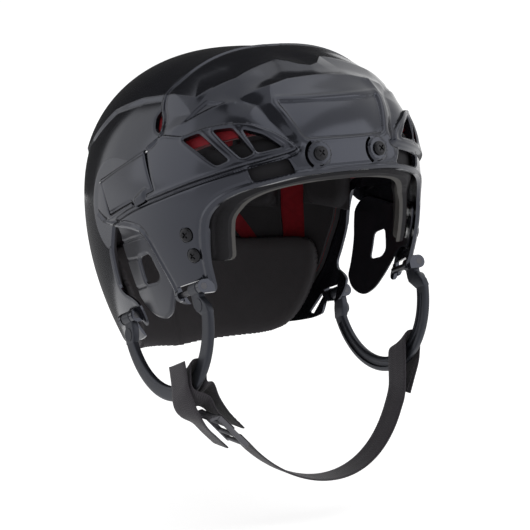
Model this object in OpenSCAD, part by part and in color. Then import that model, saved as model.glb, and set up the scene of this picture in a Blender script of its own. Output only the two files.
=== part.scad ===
// Ice hockey helmet, medium: a two-piece moulded shell whose rear half slides inside
// the front half, foam liner, ear guards, ear loops and a webbing chin strap.
// The face opening looks along -Y, the wearer's left is +X, up is +Z.
// The origin is the middle of the head cavity, level with the widest part of the head.

/* [Shell] */
// Half of the overall width of the front shell
half_width = 103; // [96:0.5:112]
// From the origin to the front of the brow
front_reach = 134; // [126:0.5:142]
// From the origin to the back of the dome
rear_reach = 128; // [122:0.5:138]
// From the origin to the top of the crown
crown_height = 105.5; // [98:0.5:112]
// Wall of both shells
wall = 2.6; // [2:0.1:3.4]
// Running gap between the front shell and the rear shell inside it
shell_gap = 0.7; // [0.4:0.1:1.2]
// How far the crown leans to the front
crown_lead = 10; // [4:0.5:14]
// Squareness of the brow seen from above, 2 is an ellipse
front_square = 2.5; // [2.2:0.05:2.8]
// Squareness of the back seen from above
rear_square = 2; // [1.85:0.05:2.3]
// Squareness of the dome seen from the side at the brow
front_arch = 2.6; // [2.3:0.05:2.9]
// Squareness of the dome seen from the front at the ears
side_arch = 2.4; // [2.2:0.05:2.7]
// Squareness of the dome seen from the side at the back
rear_arch = 2.1; // [2:0.05:2.4]
// How far the side walls draw in, 75 mm below the origin
side_draw = 20; // [12:0.5:24]
// How far the back wall draws in, 75 mm below the origin
rear_draw = 11; // [8:0.5:14]

/* [Crown] */
// How far the rear edge of the front shell rises over the crown
crown_rise = 3.2; // [1:0.1:4.5]
// How far the crown panel of the rear shell stands proud
crown_panel = 1.5; // [0.6:0.1:2]

/* [Side band] */
// How far the side band stands proud of the dome
band_proud = 2; // [1:0.1:2.6]
// Depth of the band's inner face below the dome
band_inner = 1; // [0.6:0.1:1.2]
// How far the flat flanks of the rear shell, which slide inside the bands, lie within the half width
flank_inset = 6.4; // [6.2:0.1:8]

/* [Size slide] */
// Slope of the slide and of the ear loop bars, falling to the rear
slope = 21; // [18:0.5:24]
// Travel of the rear shell between the smallest and the largest size
travel = 12; // [8:0.5:14]

/* [Brow] */
// Depth of the recessed panel in the brow
panel_depth = 1.4; // [0.8:0.1:1.8]
// Half width of the panel at its upper edge
panel_top = 40; // [34:0.5:42]
// Half width of the panel at its lower edge
panel_foot = 31; // [26:0.5:33]
// Height of the upper edge of the panel
panel_high = 79; // [74:0.5:82]
// Height of the lower edge of the panel
panel_low = 55; // [53:0.5:60]
// Height of the brow rim in the middle
rim_z = 34; // [30:0.5:36]

/* [Screws] */
// Radius of the screw shanks
screw_r = 2.5; // [2:0.1:2.8]
// Radius of the pan heads
head_r = 4.7; // [4.2:0.1:5.2]
// Height of the pan heads
head_h = 2.4; // [1.8:0.1:3]
// Radial clearance round shanks, pins and bars
fit = 0.06; // [0.03:0.01:0.09]
// Half spacing of the forehead screws
brow_screw_x = 22.5; // [20:0.5:26]
// Height of the forehead screws
brow_screw_z = 46; // [44:0.5:48]
// How far the bosses of the forehead screws stand proud
boss_rise = 1.2; // [0.6:0.1:1.6]
// How deep the heads of the side screws sit in the shell
head_sink = 0.6; // [0.3:0.1:0.9]

/* [Latch] */
// Clearance round each latch panel
latch_gap = 0.5; // [0.35:0.05:0.8]
// Radius of the hinge barrel of a latch
barrel_r = 1.9; // [1.7:0.1:2.1]
// Radius of the latch hinge pin
pin_r = 0.8; // [0.6:0.05:0.9]

/* [Ear loops] */
// How far each ear loop hangs within the half width
loop_inset = 18; // [17:0.25:19]
// Distance between the front bar and the rear bar of a loop
bar_span = 92; // [90:0.5:94]
// Mean radius of a loop
loop_r = 52; // [50:0.5:54]
// Width of the loop strip
loop_w = 10; // [8:0.5:11]
// Thickness of the loop strip
loop_t = 5; // [4:0.25:5.5]
// Radius of the bars that the loops hang from
bar_r = 2.2; // [1.8:0.1:2.4]
// Outer radius of the eye round each bar
eye_r = 4.4; // [4:0.1:4.8]

/* [Chin strap] */
// Width of the webbing
web_w = 19; // [16:0.5:20]
// Thickness of the webbing
web_t = 1.5; // [1.2:0.1:1.8]

/* [Liner] */
// Thickness of the brow pad
brow_pad_t = 12; // [9:0.5:14]
// Thickness of the moulded red liner
liner_t = 6; // [4:0.5:8]
// Thickness of the comfort pads on the red liner
pad_t = 7; // [5:0.5:9]
// Thickness of the ear guards
guard_t = 2.2; // [1.8:0.1:2.6]

/* [Hidden] */
flank_x = half_width - flank_inset;
loop_x = half_width - loop_inset;
// Points round the whole dome and rows from its skirt to the crown
around = 54;
upward = 15;
// Longer than anything that is cut
far = 320;
big = 160;
// Skirt depth that the dome surface is drawn to
skirt = 130;
seat_gap = 0.3;
// Gap behind a foam piece or the guard, whose facets differ from the shell's
foam_gap = 0.7;
pad_gap = 1.1;
// Gap under the flange of an insert, flat against a curved wall
insert_gap = 0.95;
// Width of the lugs that carry a loop bar, and the clearance beside an eye
lug_w = 3.5;
eye_gap = 1;
rear_inset = wall + shell_gap;
eye_y = -82;
eye_z = -42;

// Plan radius at an angle round from the front, on a surface t inside the outer one
function plan_r(a, t) =
    let(c = cos(a), reach = (c > 0 ? front_reach : rear_reach) - t,
        p = c > 0 ? front_square : rear_square)
    pow(pow(abs(sin(a)) / (half_width - t), p) + pow(abs(c) / reach, p), -1 / p);
// Arch power at that angle
function arch(a) = let(c = cos(a)) side_arch + ((c > 0 ? front_arch : rear_arch) - side_arch) * c * c;
// Share of the plan radius that is left at a height below the origin
function draw_in(a, z) =
    let(d = side_draw + (rear_draw - side_draw) * max(0, -cos(a))) 1 - d / half_width * pow(z / 75, 2);
// Crown lean at a height
function lean(z) = crown_lead * pow(max(z, 0) / crown_height, 1.5);
// A point of the dome: f runs from -1 at the skirt over 0 at the widest level to 1 at the crown
function dome_pt(a, f, t) =
    let(m = arch(a),
        z = f < 0 ? f * skirt : (crown_height - t) * pow(sin(90 * f), 2 / m),
        r = plan_r(a, t) * (f < 0 ? draw_in(a, z) : pow(cos(90 * f), 2 / m)))
    [sin(a) * r, -cos(a) * r - lean(z), z];
// Half width of the dome at a station y and height z
function side_x(y, z, t = 0) =
    let(yy = y + lean(z), c = yy < 0 ? 1 : -1,
        k = z < 0 ? draw_in(90, z) : pow(1 - pow(z / (crown_height - t), side_arch), 1 / side_arch),
        reach = (yy < 0 ? front_reach : rear_reach) - t, p = yy < 0 ? front_square : rear_square)
    (half_width - t) * k * pow(1 - pow(abs(yy) / reach / k, p), 1 / p);
// Station y of the brow at half width x and height z
function brow_y(x, z, t = 0) =
    let(k = pow(1 - pow(z / (crown_height - t), front_arch), 1 / front_arch))
    -(front_reach - t) * k * pow(1 - pow(abs(x) / (half_width - t) / k, front_square), 1 / front_square) - lean(z);
// A cubic curve through four control points
function curve(p, s) = pow(1 - s, 3) * p[0] + 3 * s * pow(1 - s, 2) * p[1]
    + 3 * s * s * (1 - s) * p[2] + s * s * s * p[3];

// A smooth step from 0 to 1
function ease(s) = let(c = min(1, max(0, s))) c * c * (3 - 2 * c);

// The layer of the dome between two insets
module layer(t0, t1, n = around, rows = upward) {
    low = floor(rows * 0.4);
    f = [for (j = [0:rows - 1]) j < low ? -1 + j / low : (j - low) / (rows - low)];
    outer = [for (g = f) for (i = [0:n - 1]) dome_pt(i * 360 / n, g, t0)];
    inner = [for (g = f) for (i = [0:n - 1]) dome_pt(i * 360 / n, g, t1)];
    tips = [[0, -crown_lead, crown_height - t0], [0, -crown_lead, crown_height - t1]];
    m = rows * n;
    walls = [for (j = [0:rows - 2]) for (i = [0:n - 1])
        let(k = (i + 1) % n, a = j * n + i, b = j * n + k)
        each [[a, a + n, b + n], [a, b + n, b], [m + a, m + b + n, m + a + n], [m + a, m + b, m + b + n]]];
    caps = [for (i = [0:n - 1]) let(k = (i + 1) % n, a = m - n + i, b = m - n + k)
        each [[a, 2 * m, b], [m + a, m + b, 2 * m + 1], [i, k, m + k], [i, m + k, m + i]]];
    polyhedron(concat(outer, inner, tips), concat(walls, caps), convexity = 8);
}
// A closed slab between an outer and an inner grid of points, n points to a row
module skin(outer, inner, n) {
    rows = len(outer) / n - 1;
    m = len(outer);
    faces = [for (j = [0:rows - 1]) for (i = [0:n - 2]) let(a = j * n + i, b = a + 1)
        each [[a, a + n, b + n], [a, b + n, b], [m + a, m + b + n, m + a + n], [m + a, m + b, m + b + n]]];
    ends = [for (i = [0:n - 2]) let(b = i + 1, c = rows * n + i, d = c + 1)
        each [[i, b, m + b], [i, m + b, m + i], [c, m + d, d], [c, m + c, m + d]]];
    sides = [for (j = [0:rows - 1]) let(a = j * n, b = a + n, c = a + n - 1, d = c + n)
        each [[b, a, m + a], [b, m + a, m + b], [c, d, m + d], [c, m + d, m + c]]];
    polyhedron(concat(outer, inner), concat(faces, ends, sides), convexity = 6);
}
// A patch of the dome between insets t0 and t1, plan angles a0 and a1 and levels f0 and f1,
// which a rise lifts towards the seam over the crown
module patch(t0, t1, a0, a1, f0, f1, cols = 10, rows = 8, rise = 0) {
    function lift(p) = rise * ease((p[1] + 68) / 30) * ease((p[2] - 66) / 28);
    function grid(t) = [for (j = [0:rows]) for (i = [0:cols])
        let(a = a0 + (a1 - a0) * i / cols, f = f0 + (f1 - f0) * j / rows) dome_pt(a, f, t - lift(dome_pt(a, f, 0)))];
    skin(grid(t0), grid(t1), cols + 1);
}
// A foam pad on such a patch, crowned towards the head and drawn in along its edges
module pad(t, thick, a0, a1, f0, f1, cols = 10, rows = 8, edge = 0.45) {
    function swell(i, j) = 1 - edge * pow(max(abs(2 * i / cols - 1), abs(2 * j / rows - 1)), 5);
    function at(i, j, d) = dome_pt(a0 + (a1 - a0) * i / cols, f0 + (f1 - f0) * j / rows, d);
    skin([for (j = [0:rows]) for (i = [0:cols]) at(i, j, t)],
        [for (j = [0:rows]) for (i = [0:cols]) at(i, j, t + thick * swell(i, j))], cols + 1);
}
// A prism across the helmet over an outline given in side view as [y, z] points, with its
// corners rounded by r and its sides moved in by an inset
module across(outline, r = 0, inset = 0) {
    rotate([90, 0, 90]) linear_extrude(far, center = true) {
        if (r > 0) offset(r = r, $fn = 24) offset(delta = -r - inset) polygon(outline);
        else polygon(outline);
    }
}
// A slot through both side walls over its corners in side view
module side_slots(corners, r = 1) {
    hull() for (c = corners) translate([0, c[0], c[1]])
        rotate([0, 90, 0]) cylinder(r = r, h = far, center = true, $fn = 16);
}
module both_sides() {
    children();
    mirror([1, 0, 0]) children();
}
// Local frame of the left ear loop: x runs rearward along the bars, y up, z outward
module loop_frame() {
    translate([loop_x, eye_y, eye_z]) rotate([-slope, 0, 0]) rotate([90, 0, 90]) children();
}
// Round rod between two points
module rod(p, q, r) {
    d = q - p;
    translate(p) rotate([0, acos(d[2] / norm(d)), atan2(d[1], d[0])]) cylinder(r = r, h = norm(d), $fn = 32);
}
// Seats on the brow: z points out of the shell
module at_brow(s, x = brow_screw_x, z = brow_screw_z) {
    translate([s * x, brow_y(x, z), z]) rotate([0, 0, s * 8]) rotate([90 - 16, 0, 0]) children();
}
// A point on the line of the left loop bars, and how deep the wall behind it lies
function bar_pt(u) = [loop_x, eye_y + u * cos(slope), eye_z - u * sin(slope)];
function bar_depth(u, inset) = let(p = bar_pt(u)) loop_x - side_x(p[1], p[2], inset + wall / 2);
// Lugs at both ends of a bar that runs from one u to the other, standing on the wall at an inset
module bar_lugs(from, to, inset) {
    for (u = [from - lug_w, to]) {
        depth = bar_depth(u + lug_w / 2, inset);
        loop_frame() translate([u, 0, 0]) {
            rotate([0, 90, 0]) cylinder(r = eye_r, h = lug_w, $fn = 40);
            translate([0, -eye_r, -depth]) cube([lug_w, 2 * eye_r, depth]);
        }
    }
}
// Room for an eye between its lugs, with the bore for the bar
module bar_room(from, to) {
    loop_frame() {
        translate([from, -25, -14]) cube([to - from, 25 + eye_r + 0.6, 28]);
        translate([from - lug_w - 1, 0, 0]) rotate([0, 90, 0]) cylinder(r = bar_r + fit, h = to - from + 2 * lug_w + 2, $fn = 40);
    }
}
half_eye = loop_w / 2 + eye_gap;
front_room = [-half_eye, half_eye + travel];
rear_room = [bar_span - half_eye, bar_span + half_eye];
side_seats = [[-79, -7], [-83, -20]];
// Seats on the temple arms of the left side: z points out of the shell
module at_temple(p) {
    translate([side_x(p[0], p[1]), p[0], p[1]]) rotate([0, 0, -23])
        rotate([0, 90 + atan(-2 * side_draw * p[1] / 75 / 75), 0]) children();
}

front_outline = [[-150, rim_z + 4], [-136, rim_z + 1], [-129, rim_z - 1], [-121, 28], [-110, 23], [-101, 17],
    [-94, 9], [-92, 0], [-92, -34], [-90, -43], [-80, -51], [-64, -56], [-58, -52], [-60, -42], [-42, -11], [-27, -9],
    [-1, -11], [8, -8], [20, -2], [30, 3], [34, 8], [28, 12], [7, 20], [-39, 45], [-47, 53], [-45, 62], [-38, 68],
    [-35, 76], [-38, 90], [-36, 125], [-150, 125]];
band_outline = [[4, -11], [-58, 15], [-88, 28], [-124, 46], [-122, 50], [-112, 59], [-98, 64], [-85, 62],
    [-68, 58], [-50, 50], [-39, 45], [7, 20], [28, 12], [34, 8], [30, 3], [20, -2], [8, -8]];
vent_a = [[-70, 52], [-79, 55], [-98, 43.5], [-93, 40]];
vent_b = [[-87, 58], [-95, 59], [-108, 47], [-104, 44]];
vent_c = [[-103, 59], [-111, 56.5], [-119, 50], [-112, 47.5]];
vent_d = [[-111, 37], [-123, 42.5], [-125, 36], [-115, 30.5]];
latch_outline = [[8.5, 21.5], [-39.8, 47.5], [-54, 19], [-47, 15.8], [-46, 11], [-35, 6], [-32, 9.1], [-5, -3]];

tri_recess = [[-84, 60], [-66, 73], [-62, 82], [-80, 76]];
// Front shell
module front_shell() {
    color("#33343b") difference() {
        union() {
            intersection() {
                patch(0, wall, -94, 94, -0.46, 0.98, 38, 17, crown_rise);
                across(front_outline, 2);
            }
            both_sides() intersection() {
                patch(-band_proud, band_inner, 8, 112, -0.15, 0.45, 18, 7);
                across(band_outline, 1.5);
            }
            for (s = [-1, 1]) at_brow(s) translate([0, 0, -wall]) cylinder(r = 7.5, h = wall + boss_rise, $fn = 40);
            both_sides() bar_lugs(front_room[0], front_room[1], 0);
        }
        for (v = [vent_a, vent_b, vent_c, vent_d]) side_slots(v);
        both_sides() intersection() {
            patch(-1, 1.4, 32, 72, 0.28, 0.62, 4, 3);
            across(tri_recess);
        }
        for (s = [-1, 1]) {
            at_brow(s) {
                translate([0, 0, -6]) cylinder(r = screw_r + 1.4, h = 12, $fn = 32);
                brow_crescent();
            }
        }
        intersection() {
            patch(-6, panel_depth, -30, 30, 0.1, 0.8, 12, 8);
            brow_panel_prism();
        }
        both_sides() {
            across_left() polygon(latch_outline);
            rod(latch_back + latch_dir * (1 - latch_gap), latch_fore - latch_dir * (1 - latch_gap), barrel_r + latch_gap);
            rod(latch_back - latch_dir * 3, latch_fore + latch_dir * 3, pin_r + fit);
            for (p = side_seats) at_temple(p) {
                translate([0, 0, -8]) cylinder(r = screw_r + 1.4, h = 12, $fn = 32);
                translate([0, 0, -head_sink]) cylinder(r = head_r + 0.5, h = 6, $fn = 32);
            }
            bar_room(front_room[0], front_room[1]);
        }
    }
}
module brow_panel_prism() {
    rotate([90, 0, 0]) linear_extrude(far / 2) offset(r = 3, $fn = 24) offset(delta = -3)
        polygon([[-panel_top, panel_high], [panel_top, panel_high], [panel_foot, panel_low], [-panel_foot, panel_low]]);
}
// The curved slot beside a forehead screw, where a visor clip hooks in
module brow_crescent() {
    translate([0, 0, -6]) rotate([0, 0, 120]) rotate_extrude(angle = 120, $fn = 48) translate([8, 0]) square([2.4, 12]);
}
// A prism out to the left over an outline in side view
module across_left() {
    rotate([90, 0, 90]) linear_extrude(big) children();
}

rear_outline = [[-56, 125], [-56, 14], [-40, 6], [0, 0], [6, -8], [10, -20], [14, -43], [13, -58], [-4, -61], [-9, -65],
    [-9, -76], [-4, -80], [6, -91], [30, -98], [45, -101], [70, -106], [95, -112], [150, -126], [150, 125]];
// The slot through the wall behind each rear bar
neck_slot = [[12, -77], [15.5, -77], [21, -91], [15, -91]];
crown_outline = [[-31, 130], [-29, 76], [-9, 72], [18, 63], [44, 41], [66, 30], [100, 24], [112, 40], [118, 60], [100, 130]];
// A patch over the rear of the crown, in step with the facets of the layer under it
module crown_patch(t0, t1) {
    turn = 360 / around;
    patch(t0, t1, 11 * turn, 43 * turn, 2 / 9, 1, 16, 7);
}
// Rear shell
module rear_shell() {
    color("#2a2a30") difference() {
        union() {
            intersection() {
                layer(rear_inset, rear_inset + wall);
                across(rear_outline, 3);
                cube([2 * flank_x, far, far], center = true);
            }
            both_sides() intersection() {
                patch(rear_inset, rear_inset + 2 * wall, 62, 122, -0.3, 0.42, 6, 4);
                across(rear_outline, 3);
                translate([flank_x - wall, -big, -big]) cube([wall, 2 * big, 2 * big]);
            }
            intersection() {
                crown_patch(rear_inset - crown_panel, rear_inset + wall / 2);
                across(crown_outline, 2);
            }
            both_sides() {
                bar_lugs(rear_room[0], rear_room[1], rear_inset);
                size_rack();
            }
        }
        side_slots([[-40, 60], [-32, 66], [-44, 68]], 3);
        across(neck_slot, 1.5);
        intersection() {
            crown_patch(rear_inset + wall - crown_panel, rear_inset + wall + 1);
            across(crown_outline, 2, wall);
        }
        for (s = [-1, 1]) {
            for (k = [0, 1, 2]) hull() for (z = [12, 40]) translate([s * (16 + 20 * k), big / 2 + 20, z - 3 * k])
                rotate([90, 0, 0]) cylinder(r = 4, h = big, center = true, $fn = 20);
        }
        both_sides() bar_room(rear_room[0], rear_room[1]);
    }
}
// Toothed rack on the left flank, which the latch panel locks
rack_teeth = 9;
rack_pitch = 3;
module size_rack() {
    translate([flank_x - wall / 2, -20, 18]) rotate([-slope, 0, 0]) for (k = [0:rack_teeth - 1])
        translate([0, (k - (rack_teeth - 1) / 2) * rack_pitch - rack_pitch / 4, -7])
            cube([wall / 2 + 1.1, rack_pitch / 2, 14]);
}

// Hinge line of the left latch, from its rear end to its front end
latch_back = [side_x(8, 18) + 0.4, 8, 18];
latch_fore = [side_x(-39, 42) + 0.4, -39, 42];
latch_dir = (latch_fore - latch_back) / norm(latch_fore - latch_back);
function latch_edge(y) = [y, latch_back[2] + (y - latch_back[1]) * latch_dir[2] / latch_dir[1]];
// Left latch panel
module latch() {
    difference() {
        union() {
            intersection() {
                patch(-band_proud, band_inner, 55, 110, -0.1, 0.4, 10, 5);
                across_left() intersection() {
                    offset(delta = -latch_gap) polygon(latch_outline);
                    polygon([latch_edge(big), latch_edge(-big), [-big, -big], [big, -big]]);
                }
            }
            rod(latch_back + latch_dir, latch_fore - latch_dir, barrel_r);
        }
        rod(latch_back - latch_dir * 6, latch_fore + latch_dir * 6, pin_r + fit);
    }
}
module latch_left() { color("#34353c") latch(); }
module latch_right() { color("#34353c") mirror([1, 0, 0]) latch(); }
module latch_pins() {
    color("silver") both_sides() rod(latch_back - latch_dir * 3, latch_fore + latch_dir * 3, pin_r);
}

guard_outline = [[-6, -10], [-7, -24], [-10, -34], [-13, -54], [-12, -60], [-18, -67], [-26, -70], [-36, -70],
    [-46, -64], [-54, -52], [-62, -38], [-68, -32], [-88, -29], [-90, 0], [-70, -1], [-46, -6], [-12, -5]];
guard_window = [[-26, -29], [-39, -24], [-46, -38], [-42, -43], [-28, -47]];
guard_grooves = [[[-2, -24], [-2, -21], [-37, -11], [-37, -14]], [[-2, -36], [-2, -33.5], [-27, -28], [-27, -30.5]],
    [[-4, -56], [-4, -53.5], [-28, -46.5], [-28, -49]]];
groove_depth = 0.8;
guard_at = wall + 0.5;
// Left ear guard, clamped under the temple arm by the two side screws
module ear_guard() {
    difference() {
        intersection() {
            patch(guard_at, guard_at + guard_t, 40, 105, -0.7, 0.05, 13, 9);
            across(guard_outline, 3);
        }
        across(guard_window, 2);
        intersection() {
            patch(guard_at - 1, guard_at + groove_depth, 65, 105, -0.4833, -0.0667, 4, 3);
            union() {
                for (g = guard_grooves) across(g);
            }
        }
        for (p = side_seats) at_temple(p) translate([0, 0, -9]) cylinder(r = screw_r + 1.4, h = 12, $fn = 32);
    }
}
module ear_guard_left() { color("#2e2f36") ear_guard(); }
module ear_guard_right() { color("#2e2f36") mirror([1, 0, 0]) ear_guard(); }

// Bars that the ear loops hang from
module loop_bar(from, to) {
    loop_frame() translate([from, 0, 0]) rotate([0, 90, 0]) cylinder(r = bar_r, h = to - from, $fn = 40);
}
module front_loop_bars() { color("#26262b") both_sides() loop_bar(front_room[0] - lug_w, front_room[1] + lug_w); }
module rear_loop_bars() { color("#26262b") both_sides() loop_bar(rear_room[0] - lug_w, rear_room[1] + lug_w); }

ring_u = bar_span / 2 - 2;
ring_v = -8;
// Ear loop on the left side: an eye round each bar and a U-shaped strip
module ear_loop() {
    loop_frame() difference() {
        union() {
            for (u = [0, bar_span]) translate([u - loop_w / 2, 0, 0]) rotate([0, 90, 0]) cylinder(r = eye_r, h = loop_w, $fn = 40);
            translate([0, 0, -loop_t / 2]) linear_extrude(loop_t) {
                difference() {
                    translate([ring_u, ring_v]) circle(r = loop_r + loop_w / 2, $fn = 96);
                    translate([ring_u, ring_v]) circle(r = loop_r - loop_w / 2, $fn = 96);
                    translate([-big, -16]) square(2 * big);
                }
                polygon([[-12.4, -16], [-2.2, -16], [5, -11], [5, 0], [-5, 0], [-5, -6.5]]);
                polygon([[100.4, -16], [90.2, -16], [87, -11], [87, 0], [97, 0], [97, -6.5]]);
            }
        }
        for (u = [0, bar_span]) translate([u - loop_w, 0, 0]) rotate([0, 90, 0]) cylinder(r = bar_r + fit, h = 2 * loop_w, $fn = 40);
        translate([0, 0, -loop_t / 2 - 1]) linear_extrude(2.6) difference() {
            translate([ring_u, ring_v]) circle(r = loop_r + 2, $fn = 96);
            translate([ring_u, ring_v]) circle(r = loop_r - 2, $fn = 96);
            translate([-big, -20]) square(2 * big);
        }
    }
}
module ear_loop_left() { color("#2f3138") ear_loop(); }
module ear_loop_right() { color("#2f3138") mirror([1, 0, 0]) ear_loop(); }
// Domed studs that button the folded ends of the loop strip
module loop_studs() {
    loop_frame() for (u = [-2, bar_span + 2]) translate([u, -11, loop_t / 2]) intersection() {
        cylinder(r = 4.6, h = 3.2, $fn = 40);
        translate([0, 0, -4]) sphere(r = 7.2, $fn = 48);
    }
}
module loop_studs_left() { color("#2b2c33") loop_studs(); }
module loop_studs_right() { color("#2b2c33") mirror([1, 0, 0]) loop_studs(); }

// Pan head screw with a cross recess, its head on the plane z = 0
module pan_screw(length) {
    difference() {
        union() {
            cylinder(r = head_r, h = head_h * 0.55, $fn = 40);
            translate([0, 0, head_h * 0.55]) cylinder(r1 = head_r, r2 = head_r * 0.72, h = head_h * 0.45, $fn = 40);
            translate([0, 0, -length]) cylinder(r = screw_r, h = length, $fn = 32);
        }
        for (a = [0, 90]) rotate([0, 0, a]) translate([-2.4, -0.5, head_h - 1.4]) cube([4.8, 1, 3]);
    }
}
// Threaded insert behind a wall of the given depth, its flange on the inside
module insert_nut(depth) {
    difference() {
        union() {
            translate([0, 0, -depth - insert_gap - 1.4]) cylinder(r = 5.2, h = 1.4, $fn = 40);
            translate([0, 0, -depth - insert_gap - 0.7]) cylinder(r = screw_r + 1.2, h = depth, $fn = 32);
        }
        translate([0, 0, -depth - 4]) cylinder(r = screw_r + fit, h = depth + 6, $fn = 32);
    }
}
module forehead_screws() { color("#1d1d20") for (s = [-1, 1]) at_brow(s) translate([0, 0, boss_rise]) pan_screw(5.5); }
module forehead_inserts() { color("silver") for (s = [-1, 1]) at_brow(s) insert_nut(wall); }
module side_screws() { color("#1d1d20") both_sides() for (p = side_seats) at_temple(p) translate([0, 0, -head_sink]) pan_screw(6); }
module side_inserts() {
    color("silver") both_sides() for (p = side_seats) at_temple(p) insert_nut(guard_at + guard_t);
}

// Brow pad: one arch of foam inside the brow and down both temples
pad_seat = wall + 2.1;
front_liner_at = wall + foam_gap;
pad_legs = guard_at + guard_t + 2.6;
function brow_sink(z) = pad_seat + (pad_legs - pad_seat) * min(1, max(0, (26 - z) / 14));
brow_pad_outline = [[-150, rim_z + 3], [-129, rim_z - 2], [-121, 27], [-110, 21], [-101, 14], [-96, 5], [-95, -24],
    [-82, -24], [-76, -18], [-70, 20], [-68, 38], [-82, 46], [-100, 52], [-112, 58], [-150, 60]];
module brow_pad() {
    cols = 30;
    rows = 9;
    function at(i, j, d) = let(a = -70 + 140 * i / cols, f = -0.22 + 0.8 * j / rows, p = dome_pt(a, f, 0))
        dome_pt(a, f, brow_sink(p[2]) + d);
    color("#4a4846") intersection() {
        skin([for (j = [0:rows]) for (i = [0:cols]) at(i, j, 0)],
            [for (j = [0:rows]) for (i = [0:cols]) at(i, j, brow_pad_t)], cols + 1);
        across(brow_pad_outline);
    }
}
// Red moulded foam in the front shell, seen through the side vents
front_liner_outline = [[-150, 64], [-113, 62], [-98, 55.5], [-80, 49.5], [-60, 40], [-58.5, 60], [-58.5, 125], [-150, 125]];
module front_liner() {
    color("#96121a") intersection() {
        patch(front_liner_at, front_liner_at + liner_t, -88, 88, 0.2, 0.95, 26, 8);
        across(front_liner_outline);
    }
}
liner_at = rear_inset + wall + foam_gap;
rear_liner_outline = [[-50, 125], [-50, 20], [0, 6], [12, -6], [20, -40], [22, -58], [34, -90], [95, -106], [150, -120], [150, 125]];
// Red moulded foam in the rear shell
module rear_liner() {
    color("#96121a") intersection() {
        layer(liner_at, liner_at + liner_t, 34, upward);
        across(rear_liner_outline);
        cube([2 * (flank_x - wall - seat_gap), far, far], center = true);
    }
}
pads_at = liner_at + liner_t + pad_gap;
// Large cushion round the back of the neck, deeper behind than at its ends
back_ends = 104;
module back_pad() {
    cols = 22;
    rows = 8;
    function low(a) = -0.73 - 0.1 * pow(max(0, -cos(a)), 0.7);
    function high(a) = -0.3 + 0.06 * cos(2 * a);
    function at(i, j, d) = let(a = back_ends + (360 - 2 * back_ends) * i / cols, f = low(a) + (high(a) - low(a)) * j / rows,
        swell = 1 - 0.5 * pow(max(abs(2 * i / cols - 1), abs(2 * j / rows - 1)), 6)) dome_pt(a, f, pads_at + d * swell);
    color("#2c2b2b") skin([for (j = [0:rows]) for (i = [0:cols]) at(i, j, 0)],
        [for (j = [0:rows]) for (i = [0:cols]) at(i, j, pad_t)], cols + 1);
}
// Comfort pads over the ears, between the rear corners and over the crown
module side_pad() { pad(pads_at, pad_t, 88, 118, -0.12, 0.62, 8, 9); }
module side_pad_left() { color("#29282a") side_pad(); }
module side_pad_right() { color("#29282a") mirror([1, 0, 0]) side_pad(); }
module corner_pads() { color("#29282a") both_sides() pad(pads_at, pad_t, 132, 149, -0.16, 0.62, 5, 9); }
module rear_pad() { color("#29282a") pad(pads_at, pad_t, 158, 202, -0.16, 0.62, 8, 9); }
// Height of the dome over a point near the crown
function crown_z(x, y, t, z = crown_height, step = 2) =
    let(yy = y + lean(z), a = atan2(x, -yy), k = norm([x, yy]) / plan_r(a, t),
        h = (crown_height - t) * pow(1 - pow(k, arch(a)), 1 / arch(a)))
    step == 0 ? h : crown_z(x, y, t, h, step - 1);
module crown_pad() {
    cols = 8;
    rows = 9;
    half = [27, 46];
    middle = 6;
    function at(i, j, d) = let(
        p = 2 * i / cols - 1, q = 2 * j / rows - 1,
        x = half[0] * p * sqrt(1 - q * q / 2), y = middle + half[1] * q * sqrt(1 - p * p / 2),
        swell = 1 - 0.45 * pow(max(abs(p), abs(q)), 5))
        [x, y, crown_z(x, y, pads_at + d * swell)];
    color("#29282a") skin([for (j = [0:rows]) for (i = [0:cols]) at(i, j, pad_t)],
        [for (j = [0:rows]) for (i = [0:cols]) at(i, j, 0)], cols + 1);
}

// Where the webbing goes round the ear loops
strap_y = -75;
strap_z = -107;
// Middle of the left loop's arc in side view, and how far the strip rises to the front and rear
ring_mid = [eye_y + ring_u * cos(slope) + ring_v * sin(slope), eye_z - ring_u * sin(slope) + ring_v * cos(slope)];
function rise(y) = ring_mid[1] - sqrt(pow(loop_r, 2) - pow(strap_y + y - ring_mid[0], 2)) - strap_z;
// Room for the strip inside a fold: half width and half height
fold_room = [5.2, 9.9];
// The near straps run down to the buckle at this angle
down = 45;
// Ribbon of webbing along [x, z, tilt] points: with a tilt of 1 it follows the loop strip
module ribbon(p) {
    last = len(p) - 1;
    function flat(i) = [p[i][0], p[i][1]];
    function side(i) = let(a = flat(max(i - 1, 0)), b = flat(min(i + 1, last)), t = (b - a) / norm(b - a)) [-t[1], t[0]];
    function at(i, y, d) = [p[i][0] + d * side(i)[0], strap_y + y, p[i][1] + d * side(i)[1] + p[i][2] * rise(y)];
    function grid(d) = [for (k = [-2:2]) for (i = [0:last]) at(i, k * web_w / 4, d)];
    skin(grid(web_t / 2), grid(-web_t / 2), last + 1);
}
// Over the top of a loop strip; a runs outwards from the middle of the strip, b upwards
fold = let(a = fold_room[0] + web_t / 2, b = fold_room[1] + web_t / 2)
    [[-a, -5], [-a, b - 2], [-a + 1.4, b - 0.4], [0, b], [a - 1.4, b - 0.4], [a, b - 2], [a, -5]];
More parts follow.
